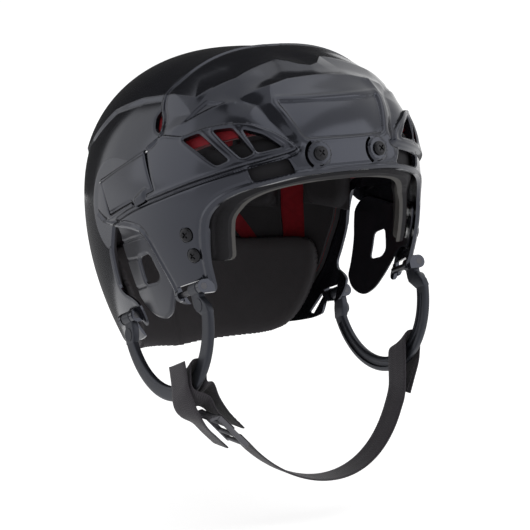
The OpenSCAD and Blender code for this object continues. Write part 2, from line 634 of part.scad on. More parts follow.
// Along the near straps: s runs down to the buckle, h outwards
function near_pt(s, h, tilt = 0) =
    [-loop_x + s * cos(down) - h * sin(down), strap_z - s * sin(down) - h * cos(down), tilt];
main_start = near_pt(57, 2);
main_curve = [[main_start[0], main_start[1]], [-9, -190], [62, -204], [loop_x - 6, -130]];
module chin_strap() {
    color("#2e2a31") ribbon(concat(
        [near_pt(48, 2)],
        [for (i = [0:19]) let(c = curve(main_curve, i / 19)) [c[0], c[1], 0]],
        [for (q = fold) [loop_x + q[0], strap_z + q[1], 1]],
        [for (q = [[5.2, -10, 0.8], [1.4, -17.5, 0.3], [-1.6, -24, 0]]) [loop_x + q[0], strap_z + q[1], q[2]]]));
}
module strap_anchor() {
    color("#2e2a31") ribbon(concat(
        [near_pt(46, -2.8), near_pt(30, -3), near_pt(18, -3.6, 0.3), near_pt(10, -5, 0.7)],
        [for (q = fold) [-loop_x - q[0], strap_z + q[1], 1]],
        [for (q = [[-5.2, -7.6, 1], [-2.4, -10.4, 1], [4, -12.2, 0.9]]) [q[0] - loop_x, strap_z + q[1], q[2]]],
        [near_pt(15, 2.6, 0.6), near_pt(21, 2.2, 0.1), near_pt(29, 2), near_pt(40, 2)]));
}
module strap_tail() {
    route = [[-11, 15, 0.5], [-9, 2, 0.8], [-8.6, -5, 1], [-6.6, -11.4, 1], [-1.8, -19, 0.6], [6, -26.5, 0],
        [14, -34.5, 0], [22, -42, 0]];
    color("#2e2a31") ribbon([for (q = route) [q[0] - loop_x, q[1] + strap_z, q[2]]]);
}
// Buckle: two side rails, three bars and a ribbed lifting tab
rail_t = 2.2;
module buckle() {
    side = web_w / 2 + 0.4;
    color("#6f6d70") translate([-loop_x, strap_y, strap_z]) rotate([0, down, 0]) {
        for (y = [-side - rail_t, side]) translate([24, y, -6.4]) cube([31, rail_t, 3.4]);
        for (x = [32, 44, 53.4]) translate([x, 0, -4.7]) rotate([90, 0, 0]) cylinder(r = 1.5, h = 2 * side + 2, center = true, $fn = 24);
        translate([24, 0, -4.7]) rotate([0, 125, 0]) {
            translate([-1, -side - 1.5, -1]) cube([7.5, 2 * side + 3, 2]);
            for (k = [1.5, 3.2, 4.9]) translate([k, -side, -1.5]) cube([0.9, 2 * side, 3]);
        }
    }
}

front_shell();
rear_shell();
latch_right();
latch_left();
latch_pins();
ear_guard_right();
ear_guard_left();
front_loop_bars();
rear_loop_bars();
ear_loop_right();
ear_loop_left();
loop_studs_right();
loop_studs_left();
forehead_screws();
forehead_inserts();
side_screws();
side_inserts();
brow_pad();
front_liner();
rear_liner();
back_pad();
side_pad_right();
side_pad_left();
corner_pads();
rear_pad();
crown_pad();
chin_strap();
strap_anchor();
strap_tail();
buckle();
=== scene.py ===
# %% [markdown]
# # An ice hockey helmet
#
# The real helmet is two glossy moulded shells, one sliding inside the other, lined with foam,
# with ear guards, two rubbery ear loops and a webbing chin strap. The rigid frame with its
# joints is loaded first, and every piece below is built round it, in metres, in the same place.
# Lengths in this script are written in millimetres and turned into metres when a mesh is made.

# %% Load the frame
import math

import bpy
import bmesh
import numpy as np
from mathutils import Matrix, Vector
from mathutils.kdtree import KDTree


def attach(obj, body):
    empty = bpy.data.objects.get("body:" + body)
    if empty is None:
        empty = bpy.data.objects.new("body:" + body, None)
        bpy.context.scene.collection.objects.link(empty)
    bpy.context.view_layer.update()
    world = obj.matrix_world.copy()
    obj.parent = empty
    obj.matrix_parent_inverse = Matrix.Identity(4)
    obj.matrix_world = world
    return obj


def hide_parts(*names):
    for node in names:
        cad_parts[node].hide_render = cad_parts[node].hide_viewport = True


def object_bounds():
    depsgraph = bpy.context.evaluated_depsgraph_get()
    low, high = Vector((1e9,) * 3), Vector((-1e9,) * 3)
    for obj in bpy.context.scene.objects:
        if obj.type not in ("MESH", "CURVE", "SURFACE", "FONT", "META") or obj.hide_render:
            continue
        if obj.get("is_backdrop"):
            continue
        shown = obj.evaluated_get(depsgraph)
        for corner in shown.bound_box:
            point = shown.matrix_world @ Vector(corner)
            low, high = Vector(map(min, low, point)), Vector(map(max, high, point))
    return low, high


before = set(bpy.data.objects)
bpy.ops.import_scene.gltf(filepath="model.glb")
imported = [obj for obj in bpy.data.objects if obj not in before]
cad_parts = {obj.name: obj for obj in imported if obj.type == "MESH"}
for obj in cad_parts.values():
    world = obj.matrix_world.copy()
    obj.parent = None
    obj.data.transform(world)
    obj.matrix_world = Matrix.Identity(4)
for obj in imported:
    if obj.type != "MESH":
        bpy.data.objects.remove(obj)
cad_box = [[float(c) for c in corner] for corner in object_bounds()]

# %% [markdown]
# ## The camera
#
# A long lens from far away keeps the helmet's proportions, as a catalogue picture does. The
# camera stands in front of the helmet, a little above it and to the wearer's right.

# %% Camera
look_back = Vector((-0.5364, -0.8259, 0.1736))
camera_data = bpy.data.cameras.new("camera")
camera_data.lens = 169.28
camera_data.sensor_width = 36
camera_data.clip_end = 50
camera = bpy.data.objects.new("camera", camera_data)
camera.location = (-0.90195, -1.4200, 0.2498)
camera.rotation_mode = "QUATERNION"
camera.rotation_quaternion = (-look_back).to_track_quat("-Z", "Y")
bpy.context.scene.collection.objects.link(camera)
bpy.context.scene.camera = camera
print("camera at", [round(c, 3) for c in camera.location])

# %% [markdown]
# ## The rule of the dome
#
# Both shells follow one rule. Seen from above the helmet is a superellipse, squarer at the brow
# than at the back. Going up, each point follows an arch of its own power, and the crown leans
# forward. An inset gives the inner faces, the liners and the pads, so all of them nest.

# %% Dome
MM = 0.001
half_width, front_reach, rear_reach, crown_height = 103.0, 134.0, 128.0, 105.5
wall, crown_lead = 2.6, 10.0
front_square, rear_square = 2.5, 2.0
front_arch, side_arch, rear_arch = 2.6, 2.4, 2.1
# Below its widest line the dome draws in, by these lengths at draw_height. A level there is a skirt.
side_draw, rear_draw, draw_height, skirt = 20.0, 11.0, 75.0, 130.0
slope = math.radians(21)


def plan_radius(angle, inset):
    """Radius seen from above, at an angle in radians round from the front."""
    c, s = np.cos(angle), np.abs(np.sin(angle))
    reach = np.where(c > 0, front_reach, rear_reach) - inset
    power = np.where(c > 0, front_square, rear_square)
    return ((s / (half_width - inset)) ** power + (np.abs(c) / reach) ** power) ** (-1 / power)


def arch_power(angle):
    c = np.cos(angle)
    return side_arch + (np.where(c > 0, front_arch, rear_arch) - side_arch) * c * c


def dome(degrees, level, inset):
    """Points of the dome: level -1 is 130 mm below the middle, 0 the widest, 1 the crown."""
    angle = np.radians(degrees)
    power = arch_power(angle)
    up = np.clip(level, 0, 1) * math.pi / 2
    high = (crown_height - inset) * np.sin(up) ** (2 / power)
    z = np.where(level < 0, level * skirt, high)
    draw = side_draw + (rear_draw - side_draw) * np.clip(-np.cos(angle), 0, None)
    low = 1 - draw / half_width * (z / draw_height) ** 2
    keep = np.where(level < 0, low, np.clip(np.cos(up), 0, 1) ** (2 / power))
    radius = plan_radius(angle, inset) * keep
    lean = crown_lead * (np.clip(z, 0, None) / crown_height) ** 1.5
    return np.stack([np.sin(angle) * radius, -np.cos(angle) * radius - lean, z], -1)


def side_x(y, z, inset=0.0):
    """Half width of the dome at a station y and a height z."""
    yy = y + crown_lead * (max(z, 0) / crown_height) ** 1.5
    keep = 1 - side_draw / half_width * (z / draw_height) ** 2
    if z >= 0:
        keep = (1 - (z / (crown_height - inset)) ** side_arch) ** (1 / side_arch)
    reach, power = (front_reach, front_square) if yy < 0 else (rear_reach, rear_square)
    return (half_width - inset) * keep * (1 - (abs(yy) / (reach - inset) / keep) ** power) ** (1 / power)


def brow_y(x, z):
    """Station of the brow at a half width x and a height z."""
    keep = (1 - (z / crown_height) ** front_arch) ** (1 / front_arch)
    bow = (1 - (abs(x) / half_width / keep) ** front_square) ** (1 / front_square)
    return -front_reach * keep * bow - crown_lead * (z / crown_height) ** 1.5


print("brow at", round(brow_y(0, 46), 1), "side at", round(side_x(0, 0), 1))

# %% [markdown]
# ## Small tools
#
# A few helpers do the plain work: an outline is smoothed by cutting its corners, its signed
# distance tells how deep a point lies inside it, and a closed slab is stretched between an outer
# and an inner grid of points. Real moulded edges are rounded, so every hole and rim gets a lip
# whose height follows that distance.

# %% Outlines
def ease(share):
    share = np.clip(share, 0, 1)
    return share * share * (3 - 2 * share)


def soften(outline, rounds=2):
    """Cuts the corners of a closed outline, again and again."""
    p = np.array(outline, float)
    for _ in range(rounds):
        q = np.roll(p, -1, 0)
        p = np.stack([0.75 * p + 0.25 * q, 0.25 * p + 0.75 * q], 1).reshape(-1, 2)
    return p


def round_corners(outline, radius):
    """Rounds the corners of a closed outline and leaves its sides straight."""
    p = np.array(outline, float)
    found = []
    for k in range(len(p)):
        b = p[k]
        back, ahead = p[k - 1] - b, p[(k + 1) % len(p)] - b
        back_length, ahead_length = np.linalg.norm(back), np.linalg.norm(ahead)
        reach = min(radius, back_length * 0.45, ahead_length * 0.45)
        start, end = b + back / back_length * reach, b + ahead / ahead_length * reach
        for s in np.linspace(0, 1, 5):
            found.append((1 - s) ** 2 * start + 2 * s * (1 - s) * b + s * s * end)
    return np.array(found)


def depth(points, outline):
    """How deep each 2D point lies inside a closed outline, negative outside."""
    best = np.full(len(points), 1e9)
    inside = np.zeros(len(points), bool)
    for a, b in zip(outline, np.roll(outline, -1, 0)):
        d = b - a
        s = np.clip(((points - a) @ d) / max(d @ d, 1e-12), 0, 1)
        best = np.minimum(best, np.hypot(*(points - a - s[:, None] * d).T))
        rise = (a[1] > points[:, 1]) != (b[1] > points[:, 1])
        cross = a[0] + (points[:, 1] - a[1]) * d[0] / (d[1] if d[1] else 1e-12)
        inside ^= rise & (points[:, 0] < cross)
    return np.where(inside, best, -best)


def side_of(points):
    """Points of the dome seen from the side, as [y, z]."""
    return points.reshape(-1, 3)[:, 1:]


square = np.array([[0, 0], [10, 0], [10, 10], [0, 10]])
print("the middle of a square is", depth(np.array([[5.0, 5.0]]), square)[0], "deep")

# %% Meshes
def make(name, points, faces):
    """A mesh object from points in millimetres."""
    mesh = bpy.data.meshes.new(name)
    mesh.from_pydata((np.asarray(points, float) * MM).tolist(), [], faces)
    mesh.validate()
    mesh.update()
    piece = bpy.data.objects.new(name, mesh)
    bpy.context.scene.collection.objects.link(piece)
    return piece


def turn_out(piece):
    """Points all faces outwards."""
    work = bmesh.new()
    work.from_mesh(piece.data)
    bmesh.ops.recalc_face_normals(work, faces=work.faces)
    work.to_mesh(piece.data)
    work.free()
    return piece


def solid(name, points, faces):
    """A closed mesh whose faces all look outwards."""
    return turn_out(make(name, points, faces))


def grid_faces(rows, cols):
    """The faces of a grid of points, and its rim as pairs of neighbours."""
    at = np.arange(rows * cols).reshape(rows, cols)
    faces = np.stack([at[:-1, :-1], at[:-1, 1:], at[1:, 1:], at[1:, :-1]], -1).reshape(-1, 4)
    rim = [int(k) for k in (*at[0, :], *at[1:, -1], *at[-1, -2::-1], *at[-2:0:-1, 0])]
    return faces.tolist(), list(zip(rim, rim[1:] + rim[:1]))


def slab(name, outer, inner):
    """A closed slab between two grids of points with the same rows and columns."""
    quads, rim = grid_faces(*outer.shape[:2])
    m = outer[..., 0].size
    faces = [face for a, b, c, d in quads for face in ((a, b, c, d), (m + d, m + c, m + b, m + a))]
    faces += [(b, a, m + a, m + b) for a, b in rim]
    return solid(name, np.concatenate([outer.reshape(-1, 3), inner.reshape(-1, 3)]), faces)


def between(name, low, high):
    """A closed solid between two rings of points."""
    n = len(low)
    faces = [tuple(range(n)), tuple(range(2 * n - 1, n - 1, -1))]
    faces += [(k, n + k, n + (k + 1) % n, (k + 1) % n) for k in range(n)]
    return solid(name, np.concatenate([low, high]), faces)


def prism(name, outline, axis, low, high):
    """A prism over an outline: [y, z] points along x, [x, z] points along y, [x, y] points along z."""
    p = np.asarray(outline, float)
    return between(name, *(np.insert(p, "xyz".index(axis), far, 1) for far in (low, high)))


def tube(name, points, n):
    """A closed tube through rings of n points each."""
    m = len(points)
    faces = [(k + j, k + (j + 1) % n, k + n + (j + 1) % n, k + n + j)
             for k in range(0, m - n, n) for j in range(n)]
    faces += [tuple(range(n))[::-1], tuple(range(m - n, m))]
    return solid(name, points, faces)


def lathe(name, profile, turns=32):
    """A solid turned about z from [radius, z] points, closed at both ends."""
    n = len(profile)
    t = np.linspace(0, 2 * np.pi, turns, endpoint=False)
    points = [[r * np.cos(u), r * np.sin(u), z] for u in t for r, z in profile]
    points += [[0, 0, profile[0][1]], [0, 0, profile[-1][1]]]
    low, high = turns * n, turns * n + 1
    faces, ends = [], []
    for k in range(turns):
        m = (k + 1) % turns
        faces += [(k * n + j, m * n + j, m * n + j + 1, k * n + j + 1) for j in range(n - 1)]
        ends += [(m * n, k * n, low), (k * n + n - 1, m * n + n - 1, high)]
    return solid(name, points, faces + ends)


def box_mesh(name, low, high):
    points = [[x, y, z] for x in (low[0], high[0]) for y in (low[1], high[1]) for z in (low[2], high[2])]
    faces = [(0, 1, 3, 2), (4, 6, 7, 5), (0, 4, 5, 1), (2, 3, 7, 6), (0, 2, 6, 4), (1, 5, 7, 3)]
    return solid(name, points, faces)


print("a grid of 3 by 3 points has", len(grid_faces(3, 3)[0]), "faces")

# %% Changes to a mesh
def applied(piece, modifier):
    """Keeps what a modifier makes as the piece's own mesh."""
    bpy.context.view_layer.update()
    result = bpy.data.meshes.new_from_object(piece.evaluated_get(bpy.context.evaluated_depsgraph_get()))
    piece.modifiers.remove(modifier)
    old, piece.data = piece.data, result
    bpy.data.meshes.remove(old)
    return piece


def carve(piece, cutter, operation="DIFFERENCE"):
    """Cuts piece with cutter, or joins them, or keeps what they share, and removes the cutter."""
    modifier = piece.modifiers.new("cut", "BOOLEAN")
    modifier.operation = operation
    modifier.solver = "MANIFOLD"
    modifier.object = cutter
    applied(piece, modifier)
    bpy.data.objects.remove(cutter)
    return piece


def trim(piece, outline):
    """Keeps what lies inside an outline seen from the side."""
    return carve(piece, prism("rim", outline, "x", -200, 200), "INTERSECT")


def pierce(piece, outline, axis="x", low=-200):
    """Cuts a hole through a piece, by default from side to side."""
    return carve(piece, prism("hole", outline, axis, low, 200))


def joined(pieces):
    """One mesh of several closed forms."""
    for other in pieces[1:]:
        carve(pieces[0], other, "UNION")
    return pieces[0]


def bevelled(piece, width, segments=2):
    """Rounds the sharp edges of a piece."""
    modifier = piece.modifiers.new("edge", "BEVEL")
    modifier.width, modifier.segments = width * MM, segments
    modifier.limit_method, modifier.angle_limit = "ANGLE", math.radians(35)
    return applied(piece, modifier)


def thinner(piece, share):
    """Takes away faces where the surface is plain and keeps them at the creases."""
    modifier = piece.modifiers.new("thin", "DECIMATE")
    modifier.ratio = share
    return applied(piece, modifier)


def rotation(degrees, axis):
    return Matrix.Rotation(math.radians(degrees), 4, axis)


def moved(x, y, z):
    return Matrix.Translation(Vector((x, y, z)) * MM)


def place(piece, matrix):
    """Moves a mesh, and turns its faces out again in case the matrix mirrors it."""
    piece.data.transform(matrix)
    return turn_out(piece)


def dress(piece, name, body, material, nodes=(), sharp=32):
    """Names, shades and hangs up a finished piece, and lets it stand for its solids."""
    piece.name = piece.data.name = name
    for polygon in piece.data.polygons:
        polygon.use_smooth = True
    if sharp:
        piece.data.set_sharp_from_angle(angle=math.radians(sharp))
    piece.data.materials.clear()
    piece.data.materials.append(material)
    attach(piece, body)
    if nodes:
        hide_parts(*nodes)
    print(f"{name}: {len(piece.data.polygons)} faces")
    return piece


print("tools that change a mesh:", carve.__name__, bevelled.__name__, thinner.__name__, place.__name__)

# %% [markdown]
# ## Effects that several finishes share
#
# Moulded plastic is never quite even, and a used shell is rubbed along its ridges. Each such
# effect is a node group with its own sizes, built once. A group only puts out masks and heights.
# The shader itself stays in each material, where its gloss is set.

# %% Node tools
def node_of(tree, kind, inputs, **settings):
    """A node's outputs, after its settings are made and each input is linked or given a value."""
    node = tree.nodes.new(kind)
    for label, value in settings.items():
        setattr(node, label, value)
    for label, value in inputs.items():
        if isinstance(value, bpy.types.NodeSocket):
            tree.links.new(value, node.inputs[label])
        else:
            node.inputs[label].default_value = value
    return node.outputs


def math_node(tree, operation, a, b=0.0, clamp=False):
    return node_of(tree, "ShaderNodeMath", {0: a, 1: b}, operation=operation, use_clamp=clamp)[0]


def noise(tree, vector, scale, detail, rough=0.55):
    inputs = {"Vector": vector, "Scale": scale, "Detail": detail, "Roughness": rough}
    return node_of(tree, "ShaderNodeTexNoise", inputs)["Fac"]


def new_tree(kind, name, inputs, outputs):
    """A node tree with named sockets, what comes into it, and the sockets that it ends in."""
    tree = bpy.data.node_groups.new(name, kind)
    for way, sockets in (("INPUT", inputs), ("OUTPUT", outputs)):
        for label, socket_type, *value in sockets:
            socket = tree.interface.new_socket(label, in_out=way, socket_type=socket_type)
            if value:
                socket.default_value = value[0]
    return tree, tree.nodes.new("NodeGroupInput").outputs, tree.nodes.new("NodeGroupOutput").inputs


print("node tools:", node_of.__name__, math_node.__name__, noise.__name__, new_tree.__name__)

# %% Node groups
FLOAT, VECTOR = "NodeSocketFloat", "NodeSocketVector"


def effect_group(name, inputs, outputs):
    """A shader node group that reads a vector and puts out masks and heights."""
    given = [("Vector", VECTOR)] + [(label, FLOAT, value) for label, value in inputs]
    return new_tree("ShaderNodeTree", name, given, [(label, FLOAT) for label in outputs])


grain, given, ends = effect_group("moulded grain", [("Scale", 900.0)], ("Height", "Patches"))
fine = noise(grain, given["Vector"], given["Scale"], 2)
broad = noise(grain, given["Vector"], math_node(grain, "MULTIPLY", given["Scale"], 0.03), 3)
grain.links.new(math_node(grain, "ADD", fine, math_node(grain, "MULTIPLY", broad, 0.6)), ends["Height"])
grain.links.new(broad, ends["Patches"])

wear, given, ends = effect_group("handling wear", [("Scale", 60.0), ("Amount", 0.5)], ("Mask",))
stretch = node_of(wear, "ShaderNodeMapping", {"Scale": (1, 0.25, 2.2), "Vector": given["Vector"]})
streaks = noise(wear, stretch["Vector"], given["Scale"], 8, 0.7)
faint = math_node(wear, "MULTIPLY", math_node(wear, "SUBTRACT", streaks, 0.56, True), 6, True)
wear.links.new(math_node(wear, "MULTIPLY", faint, given["Amount"]), ends["Mask"])

beads, given, ends = effect_group("foam beads", [("Scale", 420.0)], ("Height", "Shade"))
cells = node_of(beads, "ShaderNodeTexVoronoi", {"Vector": given["Vector"], "Scale": given["Scale"]})
dip = math_node(beads, "SUBTRACT", 1.0, cells["Distance"])
beads.links.new(dip, ends["Height"])
beads.links.new(math_node(beads, "POWER", dip, 0.7, True), ends["Shade"])

weave, given, ends = effect_group("webbing weave", [("Pitch", 1.6)], ("Height", "Shade"))
split = node_of(weave, "ShaderNodeSeparateXYZ", {"Vector": given["Vector"]})
turns = math_node(weave, "DIVIDE", 2 * math.pi, given["Pitch"])
across_wave = math_node(weave, "SINE", math_node(weave, "MULTIPLY", split["X"], turns))
fold_wave = math_node(weave, "SINE", math_node(weave, "MULTIPLY", split["X"], 0.33))
fold_wave = math_node(weave, "ABSOLUTE", fold_wave)
slant = math_node(weave, "ADD", split["Y"], math_node(weave, "MULTIPLY", fold_wave, 3.0))
along_wave = math_node(weave, "SINE", math_node(weave, "MULTIPLY", slant, turns))
woven = math_node(weave, "MULTIPLY", across_wave, along_wave)
height = math_node(weave, "ADD", math_node(weave, "MULTIPLY", woven, 0.35), 0.5)
weave.links.new(height, ends["Height"])
weave.links.new(height, ends["Shade"])
print("groups:", [g.name for g in bpy.data.node_groups])

# %% [markdown]
# ## Finishes
#
# The shells are black plastic with a shine, so the white room shows in them as blue-grey fields
# with clean borders at the creases. The guards are a little duller, the loops are satin rubber,
# the comfort foam has a dull skin, and the moulded liner is red beads pressed together.

# %% Material tools
# The numbers of a Mix node's sockets, where it mixes colours
MIX_SHARE, MIX_FIRST, MIX_SECOND, MIX_RESULT = 0, 6, 7, 2


def material_of(name, settings):
    """A new material with its node tree, and some settings of its shader."""
    material = bpy.data.materials.new(name)
    material.use_nodes = True
    for label, value in settings.items():
        material.node_tree.nodes["Principled BSDF"].inputs[label].default_value = value
    return material, material.node_tree


def object_place(tree):
    return node_of(tree, "ShaderNodeTexCoord", {})["Object"]


def colour_between(tree, share, first, second):
    """The shader's colour goes from the first to the second colour with a mask."""
    inputs = {MIX_SHARE: share, MIX_FIRST: first, MIX_SECOND: second}
    mix = node_of(tree, "ShaderNodeMix", inputs, data_type="RGBA")
    tree.links.new(mix[MIX_RESULT], tree.nodes["Principled BSDF"].inputs["Base Color"])


def raised(tree, height, strength, distance):
    """Bumps in the surface from a height. The distance is in metres."""
    bumps = node_of(tree, "ShaderNodeBump", {"Strength": strength, "Distance": distance, "Height": height})
    tree.links.new(bumps["Normal"], tree.nodes["Principled BSDF"].inputs["Normal"])


print("material tools:", material_of.__name__, colour_between.__name__, raised.__name__)

# %% Materials
def finish_of(name, colour, rough, grain_scale, bump, lift, specular, scuffs, metal=0.0):
    """A moulded finish: grain in the surface, faint scuffs in its shine, shade in patches."""
    material, tree = material_of(name, {
        "Specular IOR Level": specular, "Metallic": metal,
        "Specular Tint": (1, 1, 1, 1) if metal else (0.8, 0.84, 1, 1)})
    spot = object_place(tree)
    own = node_of(tree, "ShaderNodeGroup", {"Scale": grain_scale, "Vector": spot}, node_tree=grain)
    rub = node_of(tree, "ShaderNodeGroup", {"Amount": scuffs, "Vector": spot}, node_tree=wear)
    lighter = [c * (1 + lift) + 0.001 for c in colour]
    colour_between(tree, own["Patches"], (*colour, 1), (*lighter, 1))
    uneven = math_node(tree, "ADD", math_node(tree, "MULTIPLY", own["Patches"], 0.06), rough - 0.03)
    shine = math_node(tree, "ADD", math_node(tree, "MULTIPLY", rub["Mask"], 0.25), uneven)
    tree.links.new(shine, tree.nodes["Principled BSDF"].inputs["Roughness"])
    raised(tree, own["Height"], bump, 0.0005)
    return material


shell_black = finish_of("glossy black shell", (0.0055, 0.0056, 0.0075), 0.17, 500.0, 0.01, 0.3, 0.6, 0.3)
guard_black = finish_of("satin black guard", (0.0105, 0.0105, 0.013), 0.3, 600.0, 0.02, 0.3, 0.5, 0.3)
rubber_black = finish_of("satin black rubber", (0.0125, 0.0135, 0.0165), 0.38, 800.0, 0.05, 0.3, 0.4, 0.2)
screw_black = finish_of("black zinc", (0.014, 0.014, 0.016), 0.26, 1500.0, 0.03, 0.4, 0.3, 0.5, 0.6)
bright_steel = finish_of("bright zinc", (0.5, 0.5, 0.5), 0.3, 1500.0, 0.03, 0.1, 0.5, 0.4, 1.0)
dark_steel = finish_of("dark plated steel", (0.05, 0.05, 0.055), 0.34, 1500.0, 0.03, 0.2, 0.5, 0.4, 0.8)
pad_black = finish_of("black skinned foam", (0.024, 0.022, 0.0225), 0.7, 1400.0, 0.35, 0.5, 0.3, 0.15)
# The back pad is the same black foam as the other pads, painted lighter: painted light where the lamps reach
# it less
back_pad_painted_lighter = finish_of("black pad skin painted lighter", (0.06, 0.056, 0.058), 0.72, 1400.0, 0.35, 0.3, 0.25, 0.15)
buckle_grey = finish_of("grey nylon buckle", (0.1, 0.098, 0.105), 0.45, 1200.0, 0.08, 0.2, 0.45, 0.3)

# Moulded bead foam has rounded cells with darker borders
bead_red = (0.27, 0.008, 0.012)
foam_red = finish_of("red bead foam", bead_red, 0.62, 700.0, 0.0, 0.2, 0.35, 0.0)
tree = foam_red.node_tree
cells = node_of(tree, "ShaderNodeGroup", {"Scale": 260.0, "Vector": object_place(tree)}, node_tree=beads)
colour_between(tree, cells["Shade"], (*[c * 0.72 for c in bead_red], 1), (*bead_red, 1))
raised(tree, cells["Height"], 0.35, 0.0006)
print("finishes:", [m.name for m in bpy.data.materials])

# %% [markdown]
# The brow pad is charcoal foam with a lighter flocked band along its edge. The band follows the
# pad's border, so the mesh carries a value that is 1 at the border, and the finish mixes by it.

# %% Pad with an edge band
pad_colour = (0.013, 0.012, 0.012)
pad_grey = finish_of("charcoal foam with a grey edge", pad_colour, 0.7, 1500.0, 0.4, 0.4, 0.25, 0.1)
tree = pad_grey.node_tree
foam_colour = tree.nodes["Principled BSDF"].inputs["Base Color"].links[0].from_socket
border = node_of(tree, "ShaderNodeAttribute", {}, attribute_name="border")
band = node_of(tree, "ShaderNodeMapRange", {"From Min": 0.42, "From Max": 0.56, "Value": border["Fac"]},
               interpolation_type="SMOOTHSTEP")
colour_between(tree, band["Result"], foam_colour, (0.1, 0.096, 0.09, 1))
print("pad nodes:", len(tree.nodes))

# %% [markdown]
# Threads run along and across the webbing, so its weave reads the strap's own map. The sewing
# thread is a shade lighter and twisted.

# %% Webbing and thread
webbing, tree = material_of("black nylon webbing", {
    "Roughness": 0.72, "Sheen Weight": 0.25, "Specular IOR Level": 0.3})
strap_map = node_of(tree, "ShaderNodeUVMap", {}, uv_map="strap")
threads = node_of(tree, "ShaderNodeGroup", {"Vector": strap_map["UV"]}, node_tree=weave)
colour_between(tree, threads["Shade"], (0.009, 0.0075, 0.01, 1), (0.04, 0.034, 0.044, 1))
raised(tree, threads["Height"], 0.6, 0.0004)

thread, tree = material_of("dark sewing thread", {"Roughness": 0.6})
twist = node_of(tree, "ShaderNodeTexWave", {"Scale": 900, "Vector": object_place(tree)})
colour_between(tree, twist["Fac"], (0.03, 0.026, 0.032, 1), (0.075, 0.065, 0.08, 1))
print("finishes:", len(bpy.data.materials))

# %% [markdown]
# ## The front shell
#
# The largest piece, and the one that the picture is mostly about. It is drawn on a fine grid over
# the dome. A height field over that grid gives its real relief: the proud side band with its
# ledge, the brow block and its sunken panel, the bosses of the forehead screws, and the crown's
# rising facet ahead of the seam. Then the rim and the holes are cut through.

# %% Outlines of the front shell
front_outline = soften([[-190, 46], [-150, 38], [-136, 35], [-129, 33], [-121, 28], [-110, 23], [-101, 17],
    [-94, 9], [-91, 0], [-91, -34], [-90, -43], [-80, -51], [-64, -56], [-58, -52], [-60, -42], [-42, -11],
    [-27, -9], [-1, -11], [8, -8], [20, -2], [30, 3], [34, 8], [28, 12], [7, 20], [-39, 45], [-47, 53],
    [-45, 62], [-38, 68], [-35, 76], [-38, 90], [-36, 125], [-36, 160], [-36, 200], [-120, 200],
    [-190, 200], [-190, 120]])
# In the side chart a point is [degrees round from the front, height in mm]
chart_scale = np.array([1.8, 1])
band_outline = round_corners(chart_scale * [[16.5, 49], [19, 55.5], [24, 61], [31, 65], [38, 64.5],
    [46.5, 60.5], [52.5, 54.8], [63, 54.2], [69, 45.5], [92, 21], [104, 8.5], [105, 3.5], [98, -5],
    [91, -10.5], [75, 4], [59.6, 16], [45, 28.6], [32, 38.8], [19, 46.8]], 4)
vents = [round_corners(chart_scale * v, 2.2) for v in (
    [[53, 52.3], [46.9, 57.2], [36.1, 42.0], [39.8, 37.9]],
    [[42.6, 59.4], [36, 61.6], [29, 46.6], [32.6, 43.0]],
    [[33, 61], [26.5, 58], [21, 50.5], [28.3, 46.8]],
    [[31, 37.6], [19.5, 44.3], [17.2, 35.2], [29.4, 29.5]])]
latch_outline = round_corners([[8.5, 21.5], [-39.8, 47.5], [-54, 19], [-47, 15.8], [-46, 11], [-35, 6],
    [-32, 9.1], [-5, -3]], 1.2)
brow_panel = round_corners([[-40, 79], [40, 79], [31, 55], [-31, 55]], 4)
wedge_recess = round_corners([[-62, 60], [-71, 77], [-85, 77]], 1)
# Creases and valleys on the wearer's right side; the left side mirrors them
crown_crease = [(-80, -33, 76), (-73, -63, 77), (-50, -75, 89.5), (-16.5, -69.5, 100), (-7, -81, 96.8),
    (0, -84, 96)]
brow_crease = [(0, -94.6, 91), (-24.5, -94, 89.6), (-37.5, -94.5, 86), (-54, -90, 81)]
brow_side = [(-37.5, -94.5, 86), (-43, -104, 77), (-39, -115, 66), (-34, -124, 55), (-38, -128, 42)]
brow_valley = [(-58, -90, 80), (-50, -99, 76), (-47, -110, 67), (-41, -120, 58)]
wedge_crease = [(-86, -58, 58), (-84.4, -62.7, 61.5), (-66, -83, 75.5), (-61, -88, 77)]
screw_x, screw_z = 22.5, 46
print("front outline points:", len(front_outline))

# %% Front shell
def closed_body(name, surface, star):
    """A solid between a grid of surface points and one point behind it."""
    quads, rim = grid_faces(*surface.shape[:2])
    faces = quads + [(b, a, surface[..., 0].size) for a, b in rim]
    return solid(name, np.concatenate([surface.reshape(-1, 3), [star]]), faces)


def crease(points, line, height, reach):
    """A rise that is sharp along a line and dies away smoothly on both sides."""
    best = np.full(len(points), 1e9)
    p = np.array(line, float)
    for a, b in zip(p[:-1], p[1:]):
        d = b - a
        s = np.clip(((points - a) @ d) / (d @ d), 0, 1)
        best = np.minimum(best, np.linalg.norm(points - a - s[:, None] * d, axis=1))
    return height * (1 - np.clip(best / reach, 0, 1)) ** 2


def ripple(gap, at, width):
    return np.exp(-((gap - at) / width) ** 2)


def lip(gap, reach=2.4, drop=0.8):
    """How far a moulded edge rounds away, at a distance from the edge."""
    return drop * (1 - ease(gap / reach))


columns = np.arange(-96, 96.01, 0.36)
rows = np.concatenate([np.arange(-0.47, 0, 0.0054), np.linspace(0, 1, 190)[1:] ** 1.15 * 0.62,
                       np.linspace(0.62, 0.985, 74)[1:]])
a_grid, f_grid = np.meshgrid(columns, rows)
base = dome(a_grid, f_grid, 0.0).reshape(-1, 3)
x, y, z = base.T
turned = np.abs(a_grid.ravel())
side, front = base[:, 1:], base[:, [0, 2]]
chart = np.stack([turned * chart_scale[0], z], -1)
right = np.stack([-np.abs(x), y, z], -1)
at_front = y < -55
inset = np.zeros(len(x))
